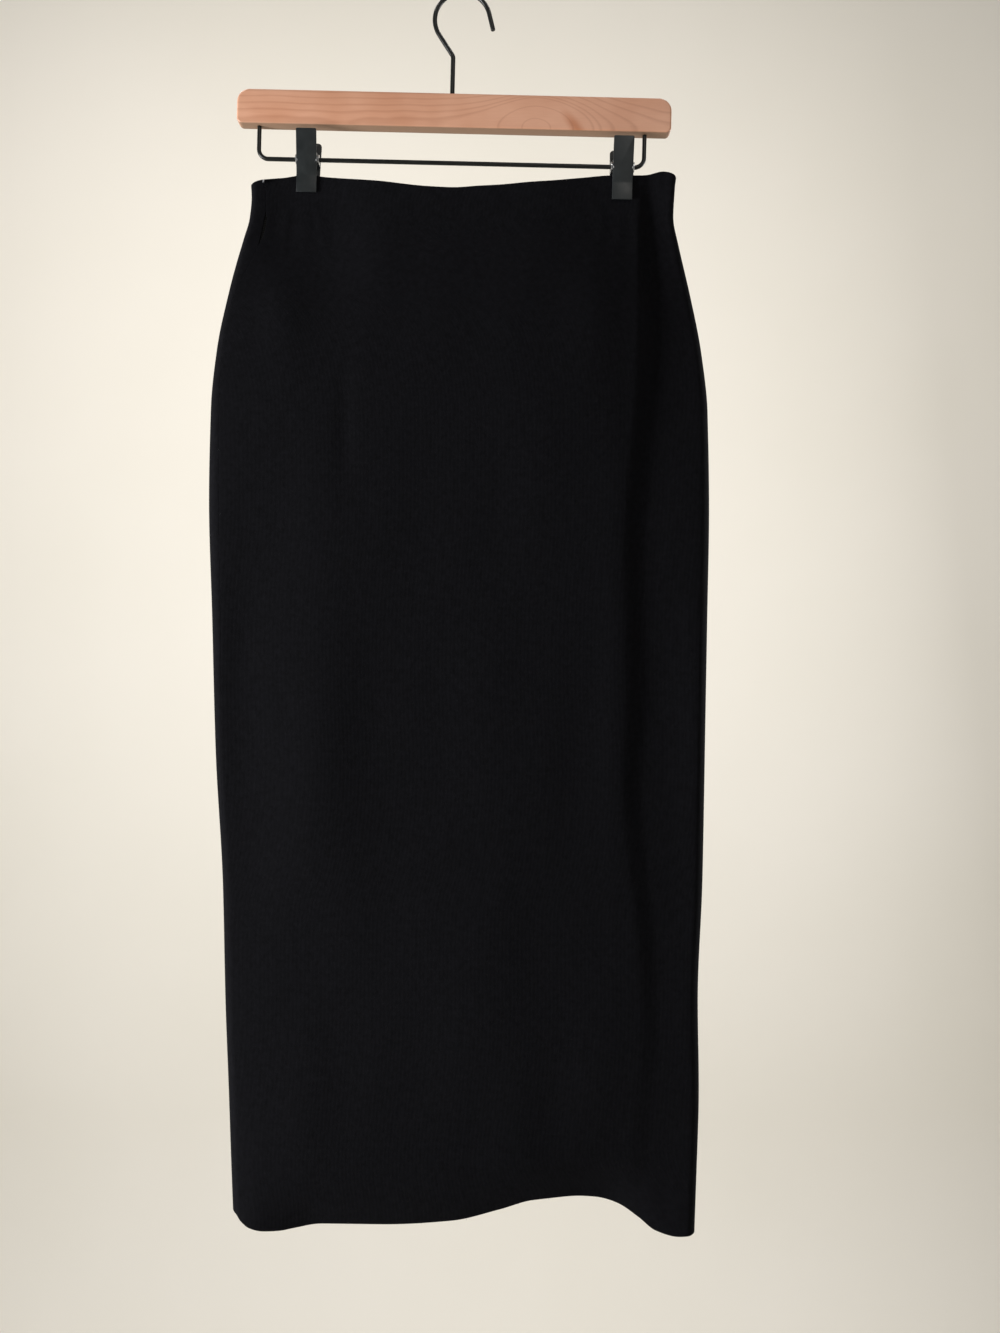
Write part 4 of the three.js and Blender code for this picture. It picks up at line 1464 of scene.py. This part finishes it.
@dataclass
class Studio:
    """The camera, the pale backdrop and floor, and soft lights."""

    camera_at: Triple = (30.93 * MM, -836.0 * MM, -561.6 * MM)
    focal_px: float = 1000.0
    frame_height_px: float = 1333.0
    sensor_mm: float = 36.0
    backdrop_y: float = 2.6
    floor_z: float = -2.9
    floor_run: float = 9.0
    half_width: float = 7.0
    ceiling_z: float = 3.4
    cove: float = 0.8
    ambient: float = 0.25
    room: str = "f6f4ef"
    # A key from the front left, a weak fill from above, a light for the back that hardly
    # reaches what the camera sees, and two washes down the paper behind the skirt
    lamps: tuple[Lamp, ...] = (
        Lamp("key", (-2.2, -0.78, -0.8), (0, 0, -0.55), 0.7, 102, "fdfdff"),
        Lamp("fill", (0.7, -2.4, 1.1), (0, 0, -0.55), 1.1, 15, "fffaf4"),
        Lamp("rear", (2.3, 0.9, -0.3), (0, 0, -0.55), 0.8, 38, "fdfdff"),
        Lamp("left paper wash", (-1.1, 0.35, 1.8), (-1.1, 2.6, -2.9), 0.6, 33, "fffaf4"),
        Lamp("right paper wash", (0.9, 0.35, 1.8), (0.9, 2.6, -2.9), 0.6, 20, "fffaf4"),
    )

    def place(self, name: str, data: Any, at: Sequence[float] = (0, 0, 0)) -> Object:
        """Put a camera, a light or the backdrop in the scene."""
        thing = bpy.data.objects.new(name, data)
        thing.location = at
        bpy.context.scene.collection.objects.link(thing)
        return thing

    def camera(self) -> None:
        """Set the camera level, in front of the skirt, as the photograph was taken."""
        lens = bpy.data.cameras.new("camera")
        lens.sensor_width = self.sensor_mm
        lens.lens = self.focal_px / self.frame_height_px * self.sensor_mm
        lens.clip_end = 40.0
        camera = self.place("camera", lens, self.camera_at)
        camera.rotation_euler = (math.radians(90), 0, 0)
        bpy.context.scene.camera = camera

    def backdrop(self, paper: Material) -> None:
        """Sweep the paper down from its top edge, round a cove and out over the floor."""
        shape = bmesh.new()
        ends = (-self.half_width, self.half_width)
        top = [shape.verts.new((x, self.backdrop_y, self.ceiling_z)) for x in ends]
        outline = Outline(shape, [shape.edges.new(top)], top[0].co, -UP)
        outline.straight(self.ceiling_z - (self.floor_z + self.cove))
        centre = Vector((0, self.backdrop_y - self.cove, self.floor_z + self.cove))
        outline.bend(centre, RIGHT, -math.pi / 2, 16).straight(self.floor_run)
        mesh = mesh_of(shape)
        mesh.name = "backdrop"
        mesh.materials.append(paper)
        mesh.shade_smooth()
        sweep = self.place("backdrop", mesh)

    def lights(self) -> None:
        """Hang the lamps, which the camera doesn't see, in a dim pale room."""
        for lamp in self.lamps:
            light = bpy.data.lights.new(lamp.name, "AREA")
            light.shape, light.size, light.energy = "SQUARE", lamp.size, lamp.watts
            light.color = linear(lamp.tint)[:3]
            hung = self.place(lamp.name, light, lamp.at)
            hung.rotation_mode = "QUATERNION"
            aim = Vector(lamp.aim) - Vector(lamp.at)
            hung.rotation_quaternion = aim.to_track_quat("-Z", "Y")
            hung.visible_camera = False
        world = bpy.data.worlds.new("room")
        bpy.context.scene.world = world
        world.use_nodes = True
        back = world.node_tree.nodes["Background"]
        back.inputs["Color"].default_value = linear(self.room)
        back.inputs["Strength"].default_value = self.ambient

    def build(self, paper: Material) -> None:
        """Set up the whole studio."""
        bpy.context.scene.view_settings.view_transform = "Standard"
        self.camera()
        self.backdrop(paper)
        self.lights()


def make_finishes() -> dict[str, Material]:
    """Make each finish once, by the short name that the builders use."""
    return {
        # Thick black knit: matt and felted, with light only on its folds
        "knit": DoubleKnit().make(),
        # Flat woven tape and its nylon coil, a little shinier than the knit
        "tape": WovenTape().make(),
        "coil": PaintedSteel("black nylon coil", "08080a", "0e0e10", 0.6, 0.12).make(),
        # Grey die-cast slider with a soft shine
        "slider": BareSteel("grey cast metal", "a9abae", 0.38).make(),
        # Pale pinkish wood with darker ring lines under thin varnish
        "wood": BeechBoard().make(),
        # Black lacquered wire with a clear highlight along it
        "wire": PaintedSteel("black lacquered wire", "090b09", "101310", 0.36, 0.3).make(),
        # Charcoal satin paint on the clips' plates
        "paint": PaintedSteel("charcoal painted steel", "181c1d", "1f2324", 0.4, 0.32).make(),
        # Bright plated steel of the clips' ears and springs
        "steel": BareSteel("plated spring steel", "b9bbbd", 0.3).make(),
        # Dark fibre ends and paler lint
        "fibre": LooseFibre().make(),
        # Pale paper of the studio
        "paper": StudioPaper().make(),
    }


def main() -> None:
    """Build the studio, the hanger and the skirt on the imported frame."""
    logging.basicConfig(level=logging.INFO, format="%(name)s %(message)s")
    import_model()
    finishes = make_finishes()
    Studio().build(finishes["paper"])
    plates = ClipHanger().build(finishes)
    Skirt(SkirtForm()).build(finishes, plates)


if __name__ == "__main__":
    main()
